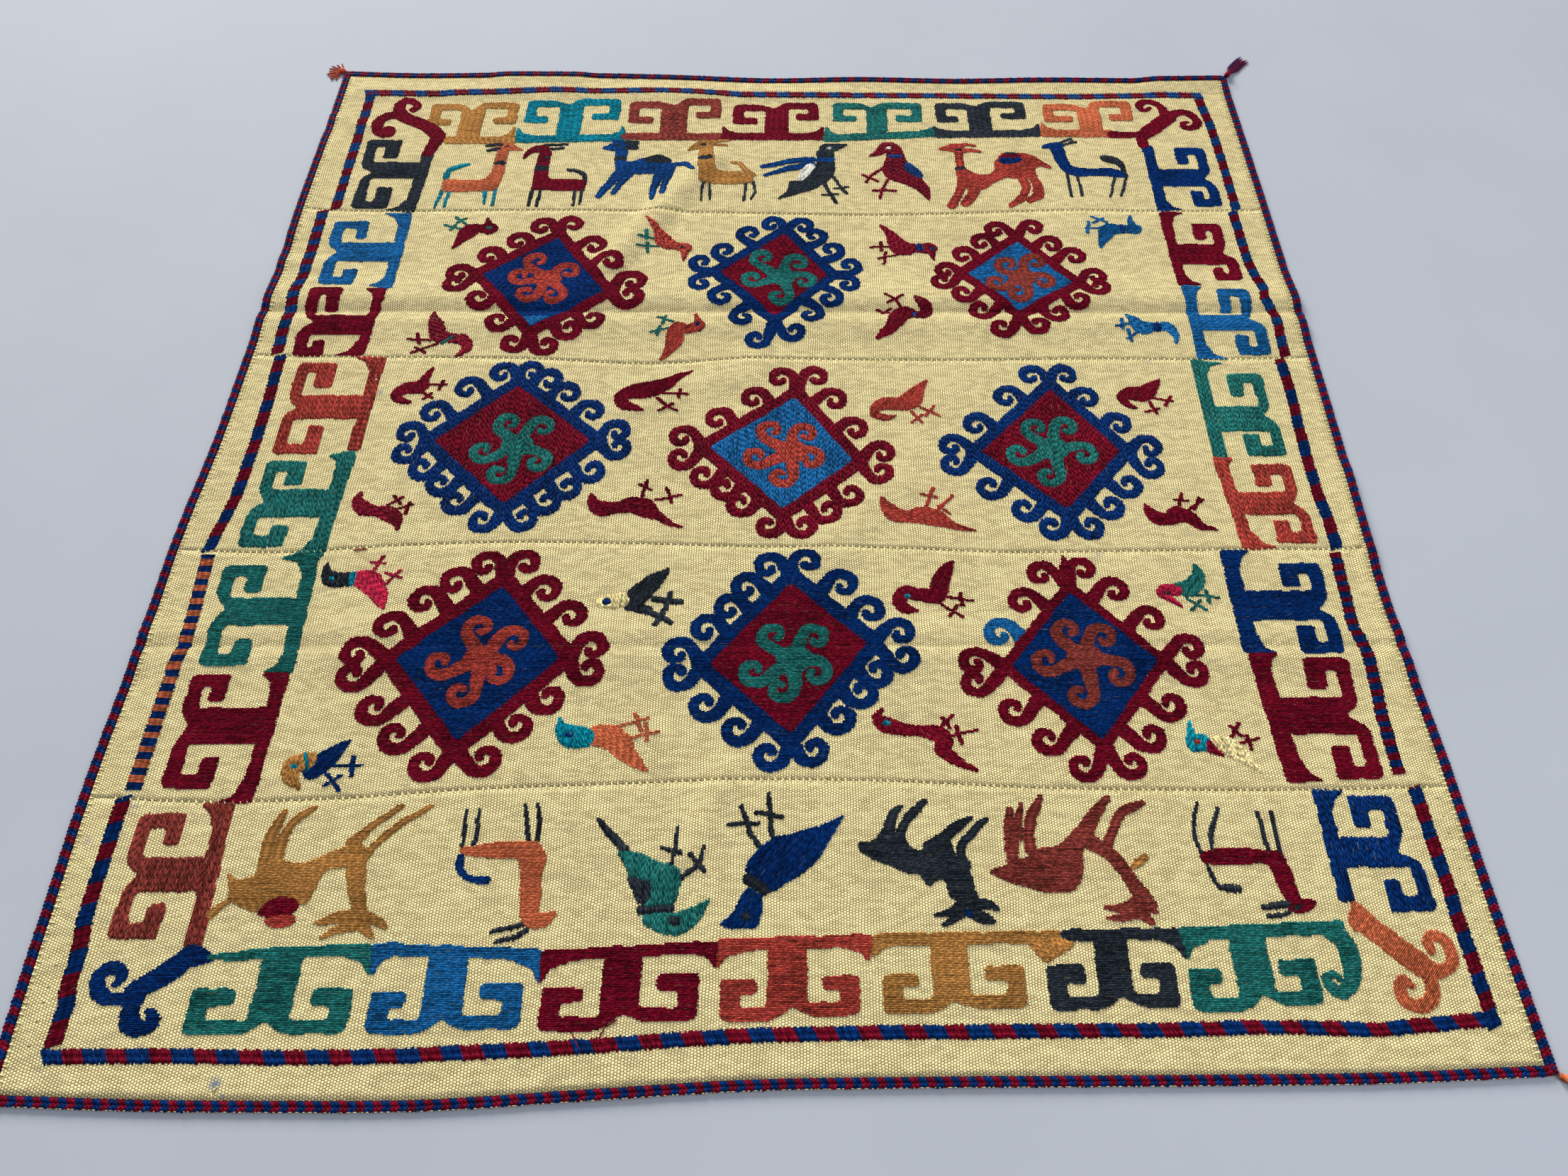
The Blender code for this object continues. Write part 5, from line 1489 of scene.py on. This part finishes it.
# %% Inner stripe
STRIPE_LENGTHS = (
    # along the side?, from, to, width, block length, slant of the joins, first wool, second wool,
    # (place along, place across) of the middle line
    (False, -895, 887, 18, 26.5, -6, "blue", "crimson", ((-895, 943), (-740, 942), (-700, 947), (-620, 950),
     (-500, 958), (-415, 955), (-270, 960), (-200, 956), (-100, 946), (100, 946), (150, 950), (600, 950),
     (800, 957), (887, 956))),
    (False, -911, 899, 18, 26.8, -9, "navy", "crimson", ((-911, -974), (-765, -975), (-705, -977),
     (-605, -980), (-487, -980), (-312, -975), (-237, -972), (-150, -967), (-50, -963), (130, -962),
     (486, -965), (600, -963), (694, -966), (759, -969), (837, -963), (920, -957))),
    (True, 580, 946, 19, 26.0, 7, "crimson", "blue", ((580, -882), (946, -882))),
    (True, 200, 576, 21, 18.5, 7, "crimson", "blue", ((200, -904), (250, -905), (300, -903), (350, -906),
     (400, -901), (500, -902), (576, -904))),
    (True, -222, 194, 20, 30.0, 7, "navy", "crimson", ((-222, -912), (-190, -907), (-150, -900), (-115, -895),
     (-15, -892), (60, -892), (194, -896))),
    (True, -624, -230, 21, 11.0, 0, "navy", "orange", ((-624, -906), (-500, -905), (-425, -905), (-388, -899),
     (-350, -901), (-275, -906), (-230, -909))),
    (True, -962, -636, 20, 27.5, 7, "crimson", "navy", ((-962, -902), (-912, -902), (-887, -907),
     (-850, -907), (-825, -910), (-800, -914), (-636, -915))),
    (True, 588, 946, 19, 24.5, 7, "blue", "crimson", ((588, 888), (750, 888), (850, 886), (946, 877))),
    (True, 193, 583, 19, 22.5, 7, "crimson", "blue", ((193, 898), (262, 899), (300, 899), (337, 887),
     (362, 892), (412, 884), (450, 880), (583, 879))),
    (True, -228, 186, 20, 30.0, 7, "navy", "crimson", ((-228, 887), (-165, 887), (-115, 882), (-40, 882),
     (35, 884), (87, 887), (135, 888), (186, 885))),
    (True, -620, -236, 20, 10.4, 2, "crimson", "navy", ((-620, 880), (-525, 880), (-475, 884), (-412, 884),
     (-375, 875), (-350, 877), (-236, 882))),
    (True, -969, -639, 20, 25.5, 7, "navy", "crimson", ((-969, 907), (-903, 905), (-850, 903), (-823, 901),
     (-795, 902), (-750, 900), (-700, 898), (-639, 896))),
)
STRIPE_UNEVEN = 1.5
STRIPE_FATNESS = 1.4
STRIPE_TONE = (0.34, 0.24)
BLOCK_UNEVEN = (0.86, 1.14)
MEETING_OVERLAP = 2.0


def stripe(row):
    """At every row step two stitches meet in the middle and cross the stripe on a slant: along it
    they move by the slant for one width across. Their block is found by counting the ends below."""
    upright, begin, finish, width, block, slant, first, second, line = row
    place = np.arange(begin, finish, ROW_STEP) + ROW_STEP / 2
    stations = np.array(line, float)
    middle = np.interp(place, *stations.T)
    count = int((finish - begin) / (block * 0.8)) + 2
    ends = begin + np.cumsum(block * chance.uniform(*BLOCK_UNEVEN, count))
    odd = np.searchsorted(ends, place) % 2
    wools = np.where(odd, WOOL_NUMBER[second], WOOL_NUMBER[first])
    for half in (-1, 1):
        inner = chance.normal(0, 0.5, len(place)) - half * MEETING_OVERLAP
        outer = half * (width / 2 + chance.uniform(-STRIPE_UNEVEN, STRIPE_UNEVEN, len(place)))
        begins = place + slant * inner / width, middle + inner
        ceases = place + slant * outer / width + chance.normal(0, 0.3, len(place)), middle + outer
        if upright:
            begins, ceases = begins[::-1], ceases[::-1]
        tone = STRIPE_TONE[0] + chance.normal(0, STRIPE_TONE[1], len(place))
        add_stitches(*begins, *ceases, wools, tone, ROW_STEP * STRIPE_FATNESS)


for number in range(len(LAYERS)):
    fill(number)
for row in STRIPE_LENGTHS:
    stripe(row)
stitches = np.vstack(STITCHES)
print("stitches:", len(stitches))

# %% [markdown]
# ## Embroidery on its strip
# The strips were embroidered before they were sewn up, so each carries its own stitches. A stitch
# belongs to the strip in which its middle lies.

# %% Embroidery meshes
EMBROIDERY = {}
middle_u = (stitches[:, 0] + stitches[:, 2]) / 2000
middle_v = (stitches[:, 1] + stitches[:, 3]) / 2000
for number in range(1, 6):
    own = (middle_v < cross_line(number - 1, middle_u)) & (middle_v >= cross_line(number, middle_u))
    EMBROIDERY[number] = stitch_mesh(f"embroidery_{number}", stitches[own], EMBROIDERY_WOOL)
    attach(EMBROIDERY[number], "root")
    print(EMBROIDERY[number].name, "stitches", int(own.sum()))

# %% [markdown]
# ## Sewing up
# The strips are whipped together with cream thread: short slanting ticks across each joint. The same
# thread overcasts the inner side of the plaited edge.

# %% Seam and edge stitches
TICK_PITCH = 10.0
TICK_HALF = (1.5, 2.8)
TICK_WIDTH = 2.2
SHADOW_LENGTH = 7.0
SHADOW_WIDTH = 1.5
LOOP_PITCH = 8.5
LOOP_LENGTH = 7.0
LOOP_WIDTH = 2.2
LOOP_SLANT = 0.8
SEAM_ENDS = (-925.0, 925.0)
SIDE_ENDS = (-1010.0, 1000.0)
RIM_ENDS = (-930.0, 925.0)
RIM_AWAY = 12.9
DASH_WIDTH = 1.6
HOLE_PITCH = 24
HOLE_LENGTH = 4
HOLE_WIDTH = 2.6
NEEDLE_HOLES = (
    # across the rug, from, to
    (923, -950, -650),
    (-933, -960, -855),
)
LOOSE_ENDS = (
    # wool, width, places along the thread
    ("crimson", 2.0, ((-280, -941), (-266, -957), (-252, -982))),
    ("crimson", 2.0, ((-211, -941), (-226, -950), (-231, -960), (-232, -973))),
    ("rust", 1.6, ((-686, -221.5), (-664, -219))),
    ("white", 3.5, ((-720, 138), (-716, 138))),
    ("cream", 1.8, ((-689, -1011), (-694, -1018), (-693, -1026))),
)


def spaced(begin, finish, pitch, stray):
    """Places every pitch from begin to finish, each moved by a chance stray."""
    places = np.arange(begin, finish, pitch)
    return places + chance.normal(0, stray, len(places))


def seam(number, u):
    """How far up the rug a seam lies, in millimetres."""
    return cross_line(number, u / 1000) * 1000


def seam_ticks(number):
    """A tick every pitch along the seam, from its upper left to its lower right."""
    u = spaced(*SEAM_ENDS, TICK_PITCH, 0.7)
    v = seam(number, u)
    across, up = np.outer(TICK_HALF, chance.uniform(0.8, 1.2, len(u)))
    tone = chance.uniform(0.45, 0.75, len(u))
    add_stitches(u - across, v + up, u + across, v - up, "cream", tone, TICK_WIDTH)


def seam_shadow(number):
    """Painted shadow in the joint: a thin dark length between one tick and the next, where shade
    falls into the gap between the strips.
    """
    u = np.arange(*SEAM_ENDS, TICK_PITCH) + (TICK_PITCH - SHADOW_LENGTH) / 2
    after = u + SHADOW_LENGTH
    tone = chance.uniform(0.0, 0.5, len(u))
    add_stitches(u, seam(number, u), after, seam(number, after), "shade in holes and seams", tone, SHADOW_WIDTH)


def edge_loops(side):
    """Loops from just under the plait inwards, every pitch along a side."""
    v = spaced(*SIDE_ENDS, LOOP_PITCH, 1.2)
    rim = side_line(side, v / 1000) * 1000
    inner = rim - side * LOOP_LENGTH * chance.uniform(0.6, 1.2, len(v))
    tone = chance.uniform(0.5, 0.9, len(v))
    add_stitches(inner, v - LOOP_SLANT, rim + side * 0.6, v + LOOP_SLANT, "cream", tone, LOOP_WIDTH)


def needle_holes():
    """Where an older edge was sewn on: holes just inside the lower stretch of both sides, drawn as
    dark dashes of painted shade.
    """
    for u, begin, finish in NEEDLE_HOLES:
        v = spaced(begin, finish, HOLE_PITCH, 2.0)
        still = np.zeros(len(v))
        add_stitches(u + still, v, u + HOLE_LENGTH + still, v + 0.5, "shade in holes and seams", 0.1 + still, HOLE_WIDTH)


def rim_dashes():
    """Where the sewing thread shows along the outer rim of the near edge: a dash at every pitch."""
    u = spaced(*RIM_ENDS, LOOP_PITCH, 1.5)
    v = seam(5, u) - RIM_AWAY
    length = chance.uniform(2.5, 6.0, len(u))
    add_stitches(u, v, u + length, v, "cream", chance.uniform(0.3, 0.7, len(u)), DASH_WIDTH)


def loose_ends():
    """Ends of wool left lying on the face, each a short bent line."""
    for wool, width, places in LOOSE_ENDS:
        path = np.array(places, float)
        add_stitches(*path[:-1].T, *path[1:].T, wool, np.full(len(path) - 1, 0.6), width)


STITCHES.clear()
for number in range(1, 5):
    seam_ticks(number)
for side in (-1, 1):
    edge_loops(side)
rim_dashes()
sewing = stitch_mesh("sewing_thread", np.vstack(STITCHES), EMBROIDERY_WOOL, 1.4)
STITCHES.clear()
# Painted shadow along the seams and painted shade in the needle holes, as flat dark threads.
for number in range(1, 5):
    seam_shadow(number)
needle_holes()
seam_and_hole_shades = stitch_mesh("painted_seam_and_hole_shade", np.vstack(STITCHES), EMBROIDERY_WOOL, 0.25)
STITCHES.clear()
loose_ends()
threads = stitch_mesh("loose_threads", np.vstack(STITCHES), EMBROIDERY_WOOL, 2.4)
for piece in (sewing, seam_and_hole_shades, threads):
    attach(piece, "root")
print("sewing stitches:", len(sewing.data.vertices) // len(STITCH_CORNERS))

# %% [markdown]
# ## Yarn as tubes and spindles
# The plait and the tassels are made of whole yarns, which stand free of the cloth. Both are the same
# surface: rings carried along a path, closed by a pole at each end. The rings of all paths of a piece
# are worked out together as one array.

# %% Tubes along many paths


def tubes(paths, radii, sides, flatness=1.0):
    """Paths is an array (tube, step, xyz) and radii (tube, step). A ring point lies at the radius
    times (cosine of its angle aside + sine of it upward), where aside is level and square to the
    path and upward is square to both; the first and last steps are the poles."""
    run = np.gradient(paths, axis=1)
    run /= np.linalg.norm(run, axis=2, keepdims=True)
    aside = np.cross(run, (0.0, 0.0, 1.0))
    aside /= np.linalg.norm(aside, axis=2, keepdims=True) + TINY
    upward = np.cross(aside, run)
    angle = 2 * np.pi * np.arange(sides) / sides
    ring = (aside[:, 1:-1, None] * np.cos(angle)[:, None]
            + upward[:, 1:-1, None] * np.sin(angle)[:, None] * flatness)
    rings = paths[:, 1:-1, None] + ring * radii[:, 1:-1, None, None]
    count, steps = paths.shape[:2]
    levels = steps - 2
    points = np.concatenate([paths[:, :1], rings.reshape(count, -1, 3), paths[:, -1:]], axis=1)
    index = 1 + np.arange(levels * sides).reshape(levels, sides)
    beside = np.roll(index, -1, axis=1)
    a, b, c, d = index[:-1], beside[:-1], beside[1:], index[1:]
    last = levels * sides + 1
    faces = np.vstack([
        np.stack([np.zeros(sides, int), beside[0], index[0]], axis=1),
        np.stack([a, b, c], axis=2).reshape(-1, 3),
        np.stack([a, c, d], axis=2).reshape(-1, 3),
        np.stack([np.full(sides, last), index[-1], beside[-1]], axis=1),
    ])
    along = np.repeat(np.linspace(0, 1, steps)[1:-1], sides)
    # Across is 0.5 on top and 1 underneath, so the yarn's painted shade darkens the tube's underside and
    # leaves its top lit.
    across = 0.5 + 0.5 * abs(np.angle(np.exp(1j * (angle - np.pi / 2)))) / np.pi
    inner = np.stack([along, np.tile(across, levels)], axis=1)
    inner = np.vstack([(0.0, 0.5), inner, (1.0, 0.5)])
    return points, faces, inner


def yarn_mesh(name, parts, material):
    """One mesh from parts, each the result of tubes with a wool number and a tone for each tube."""
    gathered = []
    start = 0
    for (points, faces, inner), wool, tone in parts:
        count, each = points.shape[:2]
        offsets = start + each * np.arange(count)
        gathered.append((points.reshape(-1, 3), (faces[None] + offsets[:, None, None]).reshape(-1, 3),
                         np.repeat(wool, each), np.repeat(tone, each), np.tile(inner, (count, 1))))
        start += count * each
    points, faces, wool, tone, inner = (np.concatenate(column) for column in zip(*gathered))
    return dyed_mesh(name, points, faces, wool, tone, inner, material)


def tones(count, middle=0.5, spread=0.14):
    """Tone numbers scattered about a middle share of the way from darkest to lightest."""
    return np.clip(np.rint((middle + chance.normal(0, spread, count)) * (TONES - 1)), 0, TONES - 1)


print("tube helper ready, tones like", tones(4).astype(int).tolist())

# %% [markdown]
# ## Plaited edge
# The edge is a flat plait of crimson and blue wool sewn on all round. Seen from above it is two rows
# of short fat links that lean towards each other like herringbone, and the colour changes every two
# or three links. Each link is a spindle, closed at both ends. Under them runs a flat core, the
# plait's inner yarn, made near-black as painted shade deep between the links.

# %% The edge's lines
SIDE_EDGE_WIDTH = 0.0130
END_EDGE_WIDTH = 0.0120
EDGE_THICK = 0.0050
LINK_PITCH = 0.0051
ROW_STAGGER = 0.0016
LINK_LENGTH = 0.0092
LINK_LEAN = 0.62
LINK_RINGS = (0.0, 0.17, 0.50, 0.83, 1.0)
LINK_SWELL = (0.0, 0.80, 1.0, 0.80, 0.0)
LINK_RADIUS = 0.00275
LINK_STRAY = 0.0003
LINK_SWING = 0.06
LINK_LEVEL = 0.47
LINK_ARCH = 0.0009
LINK_ROWS = ((0.27, 1.0), (0.73, -1.0))
CORE_CLEAR = 0.0004
CORE_SHARE = 0.55
# Painted shade: the core's two near-black tones.
CORE_PAINTED_SHADE_TONES = ((0.020, 0.012, 0.022), (0.075, 0.030, 0.050))


def on_ground(flat, above):
    """The place in the room of places (u, v) on the rug, at a height above the folds."""
    u, v = flat[..., 0], flat[..., 1]
    return laid(u, v, ground_height(u, v) + above)


def point_at(line, travelled, at):
    """The places of a line at these lengths along it."""
    return np.stack([np.interp(at, travelled, axis) for axis in line.T], axis=1)


def cloth_corner(u_side, v_side):
    """Where a side line and an end line of the cloth cross."""
    number = 0 if v_side > 0 else 5
    v = np.mean(CROSS_LINES[number])
    for _ in range(3):
        u = side_line(u_side, v)
        v = cross_line(number, u)
    return float(u), float(v)


def edge_lines(kind, side):
    """Points every 2 mm along an edge's inner line and the outward direction, as (u, v), and the
    plait's width."""
    if kind == "side":
        top, bottom = cloth_corner(side, 1)[1], cloth_corner(side, -1)[1]
        v = np.linspace(bottom - END_EDGE_WIDTH, top + END_EDGE_WIDTH, 1020)
        line = np.stack([side_line(side, np.clip(v, bottom, top)) + side * GAP, v], axis=1)
        return line, np.array((float(side), 0.0)), SIDE_EDGE_WIDTH
    left, right = cloth_corner(-1, side)[0], cloth_corner(1, side)[0]
    u = np.linspace(left - SIDE_EDGE_WIDTH, right + SIDE_EDGE_WIDTH, 960)
    line = np.stack([u, cross_line(0 if side > 0 else 5, np.clip(u, left, right)) + side * GAP], axis=1)
    return line, np.array((0.0, float(side))), END_EDGE_WIDTH


# %% Plaited edges
def plait(name, kind, side, links, fat):
    """Links in two rows: a link's middle lies about a quarter or three quarters of the way across, and
    its ends a share of its length along and across, so that the rows lean towards each other. Both
    rows change colour after the same number of links, the outer one a little later. Fat makes the
    links larger, where the plait is worked more loosely."""
    line, outward, width = edge_lines(kind, side)
    width = width * fat
    travelled = np.r_[0.0, np.cumsum(np.hypot(*np.diff(line, axis=0).T))]
    parts = []
    for row, (place, lean) in enumerate(LINK_ROWS):
        first = width * 0.25 + row * ROW_STAGGER
        at = np.arange(first, travelled[-1] - width * 0.25, LINK_PITCH)
        ahead = point_at(line, travelled, at + 0.002) - point_at(line, travelled, at - 0.002)
        ahead /= np.linalg.norm(ahead, axis=1, keepdims=True) + TINY
        jitter = chance.normal(0, LINK_STRAY, (len(at), 1))
        middle = point_at(line, travelled, at) + outward * (place * width + jitter)
        swing = lean * LINK_LEAN + chance.normal(0, LINK_SWING, (len(at), 1))
        way = ahead * np.cos(swing) + outward * np.sin(swing)
        share = np.array(LINK_RINGS)[None, :, None] - 0.5
        flat = middle[:, None] + way[:, None] * share * LINK_LENGTH * fat
        path = on_ground(flat, EDGE_THICK * LINK_LEVEL * fat + LINK_ARCH * (1 - (2 * share[..., 0]) ** 2))
        radii = np.array(LINK_SWELL)[None] * LINK_RADIUS * fat * chance.uniform(0.92, 1.08, (len(at), 1))
        colour = np.arange(len(at)) // links % 2
        wool = np.where(colour == 0, WOOL_NUMBER["crimson"], WOOL_NUMBER["navy"])
        parts.append((tubes(path, radii, 6, 0.86), wool, tones(len(at), 0.28 - 0.12 * colour)))
    return yarn_mesh(name, parts, PLAIT_WOOL)


def core(name, kind, side):
    """The flat core under the links: from a tenth to nine tenths of the plait's width."""
    line, outward, width = edge_lines(kind, side)
    line = line[::6]
    shares = np.array([0.10, 0.5, 0.90])
    flat = line[:, None] + outward * (shares * width)[None, :, None]
    if (kind == "side") == (side < 0):
        flat = flat[:, ::-1]
    lower, upper = (on_ground(flat, CORE_CLEAR + share * EDGE_THICK) for share in (0.0, CORE_SHARE))
    return closed_sheet(name, lower, upper, flat, CORE_SHADE_CLOTH)


def core_material():
    """Near-black wool with a fine grain: the plait's inner yarn, with painted shade for the depth between the
    links.
    """
    made, tree = new_material("plait core with painted shade")
    grain = noise(tree, node(tree, "ShaderNodeUVMap", uv_map="cloth").outputs["UV"], 700.0, 2.0)["Fac"]
    return finish(made, {"Base Color": between(tree, grain, *CORE_PAINTED_SHADE_TONES), "Roughness": 0.9,
                         "Normal": relief(tree, grain, 0.0006)})


PLAIT_WOOL = wool_material("plaited wool", 4.0, 0.0005)
CORE_SHADE_CLOTH = core_material()
PLAITS = {}
CORES = {}
EDGES = (
    # name, kind, side, links of one colour, fat
    ("left", "side", -1, 2, 1.15), ("right", "side", 1, 2, 1.15), ("top", "end", 1, 3, 1.25),
    ("bottom", "end", -1, 2, 1.1),
)
for edge, kind, side, links, fat in EDGES:
    PLAITS[edge] = plait(f"plait_{edge}", kind, side, links, fat)
    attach(PLAITS[edge], "root")
    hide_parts(f"edge_{edge}")
    CORES[edge] = core(f"plait_shade_core_{edge}", kind, side)
    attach(CORES[edge], "root")
    print(PLAITS[edge].name, "triangles", len(PLAITS[edge].data.polygons))

# %% [markdown]
# ## Tassels
# At each corner the ends of the plait are tied in a knot and left hanging out as a tuft. A strand is
# two plies twisted round each other; it leaves the knot, fans out and bends. The knot is a few turns
# of yarn round the bundle.

# %% Strands
STRAND_RADII = (0.0015, 0.0018, 0.0016, 0.0019)
STRAND_LENGTHS = (1.00, 0.92, 1.05, 0.96, 0.88)
STRAND_RINGS = 26
ROOT_SPREAD = 0.30
SPREAD_SHARE = 0.40
KNOT_ROOT = 0.85
STRAND_CLEAR = 0.0002
PLY_PITCH = 0.0075
PLY_SIDES = 5
PLY_OFFSET = 0.48
PLY_SHARE = 0.60
WRAP_STEPS_A_TURN = 10
WRAP_PITCH = 0.0019
WRAP_RADIUS = 0.0011
WRAP_CLEAR = 0.0013
SPINE_SWELL = (0.0, 0.45, 0.62, 0.72, 0.72, 0.62, 0.45, 0.0)
TASSELS = (
    # name, side across and up the rug, wool, every third strand's wool, heading, knot length, knot
    # radius, strands, strand length, lane spacing, fan, bend; lengths in metres, angles in degrees
    ("top_left", -1, 1, "coral", "coral", 164.0, 0.014, 0.0050, 9, 0.031, 0.0010, 72.0, 28.0),
    ("top_right", 1, 1, "crimson", "navy", 55.0, 0.024, 0.0050, 9, 0.074, 0.0030, 0.0, -8.0),
    ("bottom_right", 1, -1, "orange", "orange", -28.0, 0.026, 0.0046, 8, 0.056, 0.0034, 0.0, -66.0),
    ("bottom_left", -1, -1, "crimson", "navy", 226.0, 0.022, 0.0050, 9, 0.066, 0.0034, 0.0, 12.0),
)


def strand_lines(row):
    """Centre lines of all strands of a tassel: the heading plus the strand's own fan and a bend that
    grows along it, summed step by step, moved aside by its lane, which opens near the root."""
    _, u_side, v_side, _, _, heading, knot_length, _, strands, length, spacing, fan, bend = row
    corner = np.array(cloth_corner(u_side, v_side))
    corner = corner + (u_side * (SIDE_EDGE_WIDTH + GAP), v_side * (END_EDGE_WIDTH + GAP))
    way = direction(heading)
    root = corner + way * knot_length * KNOT_ROOT
    lane = np.arange(strands) - (strands - 1) / 2
    own_fan = np.radians(2 * fan * lane / (strands - 1))
    own_length = length * np.array(STRAND_LENGTHS)[np.arange(strands) % len(STRAND_LENGTHS)]
    share = np.linspace(0.0, 1.0, STRAND_RINGS)
    angle = np.radians(heading) + own_fan[:, None] + np.radians(bend) * share[None]
    step = own_length[:, None, None] / (STRAND_RINGS - 1)
    moves = np.stack([np.cos(angle), np.sin(angle)], axis=2) * step
    centre = root + np.concatenate([np.zeros((strands, 1, 2)), np.cumsum(moves[:, 1:], axis=1)], axis=1)
    square = np.stack([-np.sin(angle), np.cos(angle)], axis=2)
    opening = np.clip(share / SPREAD_SHARE, 0, 1)
    opening = ROOT_SPREAD + (1 - ROOT_SPREAD) * opening**2 * (3 - 2 * opening)
    flat = centre + square * (lane[:, None] * spacing * opening[None])[..., None]
    return flat, own_length, corner, way


# %% Tassels
def tassel(row):
    """Two plies round each strand's centre line, half a turn apart; the knot is one yarn wound round
    a spine along the heading, its radius swelling and shrinking again. The strands leave the knot at
    three quarters of its radius and come down to the floor by half their length."""
    name, _, _, wool, second, _, knot_length, knot_radius, strands, *_ = row
    flat, own_length, corner, way = strand_lines(row)
    radius = np.array(STRAND_RADII)[np.arange(strands) % len(STRAND_RADII)]
    share = np.linspace(0.0, 1.0, STRAND_RINGS)
    lifted = np.clip(1 - share / 0.5, 0, 1) ** 2 * (knot_radius * 0.75)
    centre = on_ground(flat, radius[:, None] + STRAND_CLEAR + lifted)
    run = np.gradient(centre, axis=1)
    run /= np.linalg.norm(run, axis=2, keepdims=True)
    aside = np.cross(run, (0.0, 0.0, 1.0))
    upward = np.cross(aside, run)
    turn = 2 * np.pi * own_length[:, None] * share / PLY_PITCH + chance.uniform(0, 6.28, (strands, 1))
    number = np.where(np.arange(strands) % 3 == 1, WOOL_NUMBER[second], WOOL_NUMBER[wool])
    thin = np.clip((1 - share) / 0.10, 0.25, 1.0)
    parts = []
    for half in (0.0, np.pi):
        wound = aside * np.cos(turn + half)[..., None] + upward * np.sin(turn + half)[..., None]
        path = centre + radius[:, None, None] * PLY_OFFSET * wound
        radii = radius[:, None] * PLY_SHARE * thin[None]
        parts.append((tubes(path, radii, PLY_SIDES), number, tones(strands, 0.35)))
    turns = knot_length / WRAP_PITCH
    wind = np.linspace(0.0, 1.0, int(turns * WRAP_STEPS_A_TURN))
    swell = knot_radius * (0.72 + 0.40 * np.sin(np.pi * wind) ** 0.6) - 0.0009
    around = 2 * np.pi * turns * wind
    knot = corner + way * (knot_length * (0.04 + 0.92 * wind))[:, None]
    knot = knot + np.array([-way[1], way[0]]) * (swell * np.cos(around))[:, None]
    wrap = on_ground(knot, WRAP_CLEAR + swell * (1 + np.sin(around)))[None]
    parts.append((tubes(wrap, np.full((1, len(wind)), WRAP_RADIUS), 6), number[:1], tones(1)))
    # The spine is the wrap's own wool at a low tone: painted shade where it shows between the turns.
    spine = corner + way * (knot_length * np.linspace(0.0, 1.0, len(SPINE_SWELL)))[:, None]
    fat = knot_radius * np.array([SPINE_SWELL])
    parts.append((tubes(on_ground(spine, knot_radius)[None], fat, 8), number[:1], np.array([2.0])))
    return yarn_mesh(f"tassel_yarn_{name}", parts, TASSEL_WOOL)


TASSEL_WOOL = wool_material("tassel wool", 12.0, 0.0004)
TUFTS = {}
for row in TASSELS:
    TUFTS[row[0]] = tassel(row)
    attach(TUFTS[row[0]], "root")
    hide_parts(f"tassel_{row[0]}")
    print(TUFTS[row[0]].name, "triangles", len(TUFTS[row[0]].data.polygons))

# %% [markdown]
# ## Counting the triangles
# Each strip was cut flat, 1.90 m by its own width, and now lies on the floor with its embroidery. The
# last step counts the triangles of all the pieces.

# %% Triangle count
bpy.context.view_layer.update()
pieces = [*STRIPS.values(), *EMBROIDERY.values(), sewing, seam_and_hole_shades, threads, *PLAITS.values(),
          *CORES.values(), *TUFTS.values()]
triangles = {piece.name: len(piece.data.loops) - 2 * len(piece.data.polygons) for piece in pieces}
print("triangles:", sum(triangles.values()), "most in one piece:", max(triangles.values()))
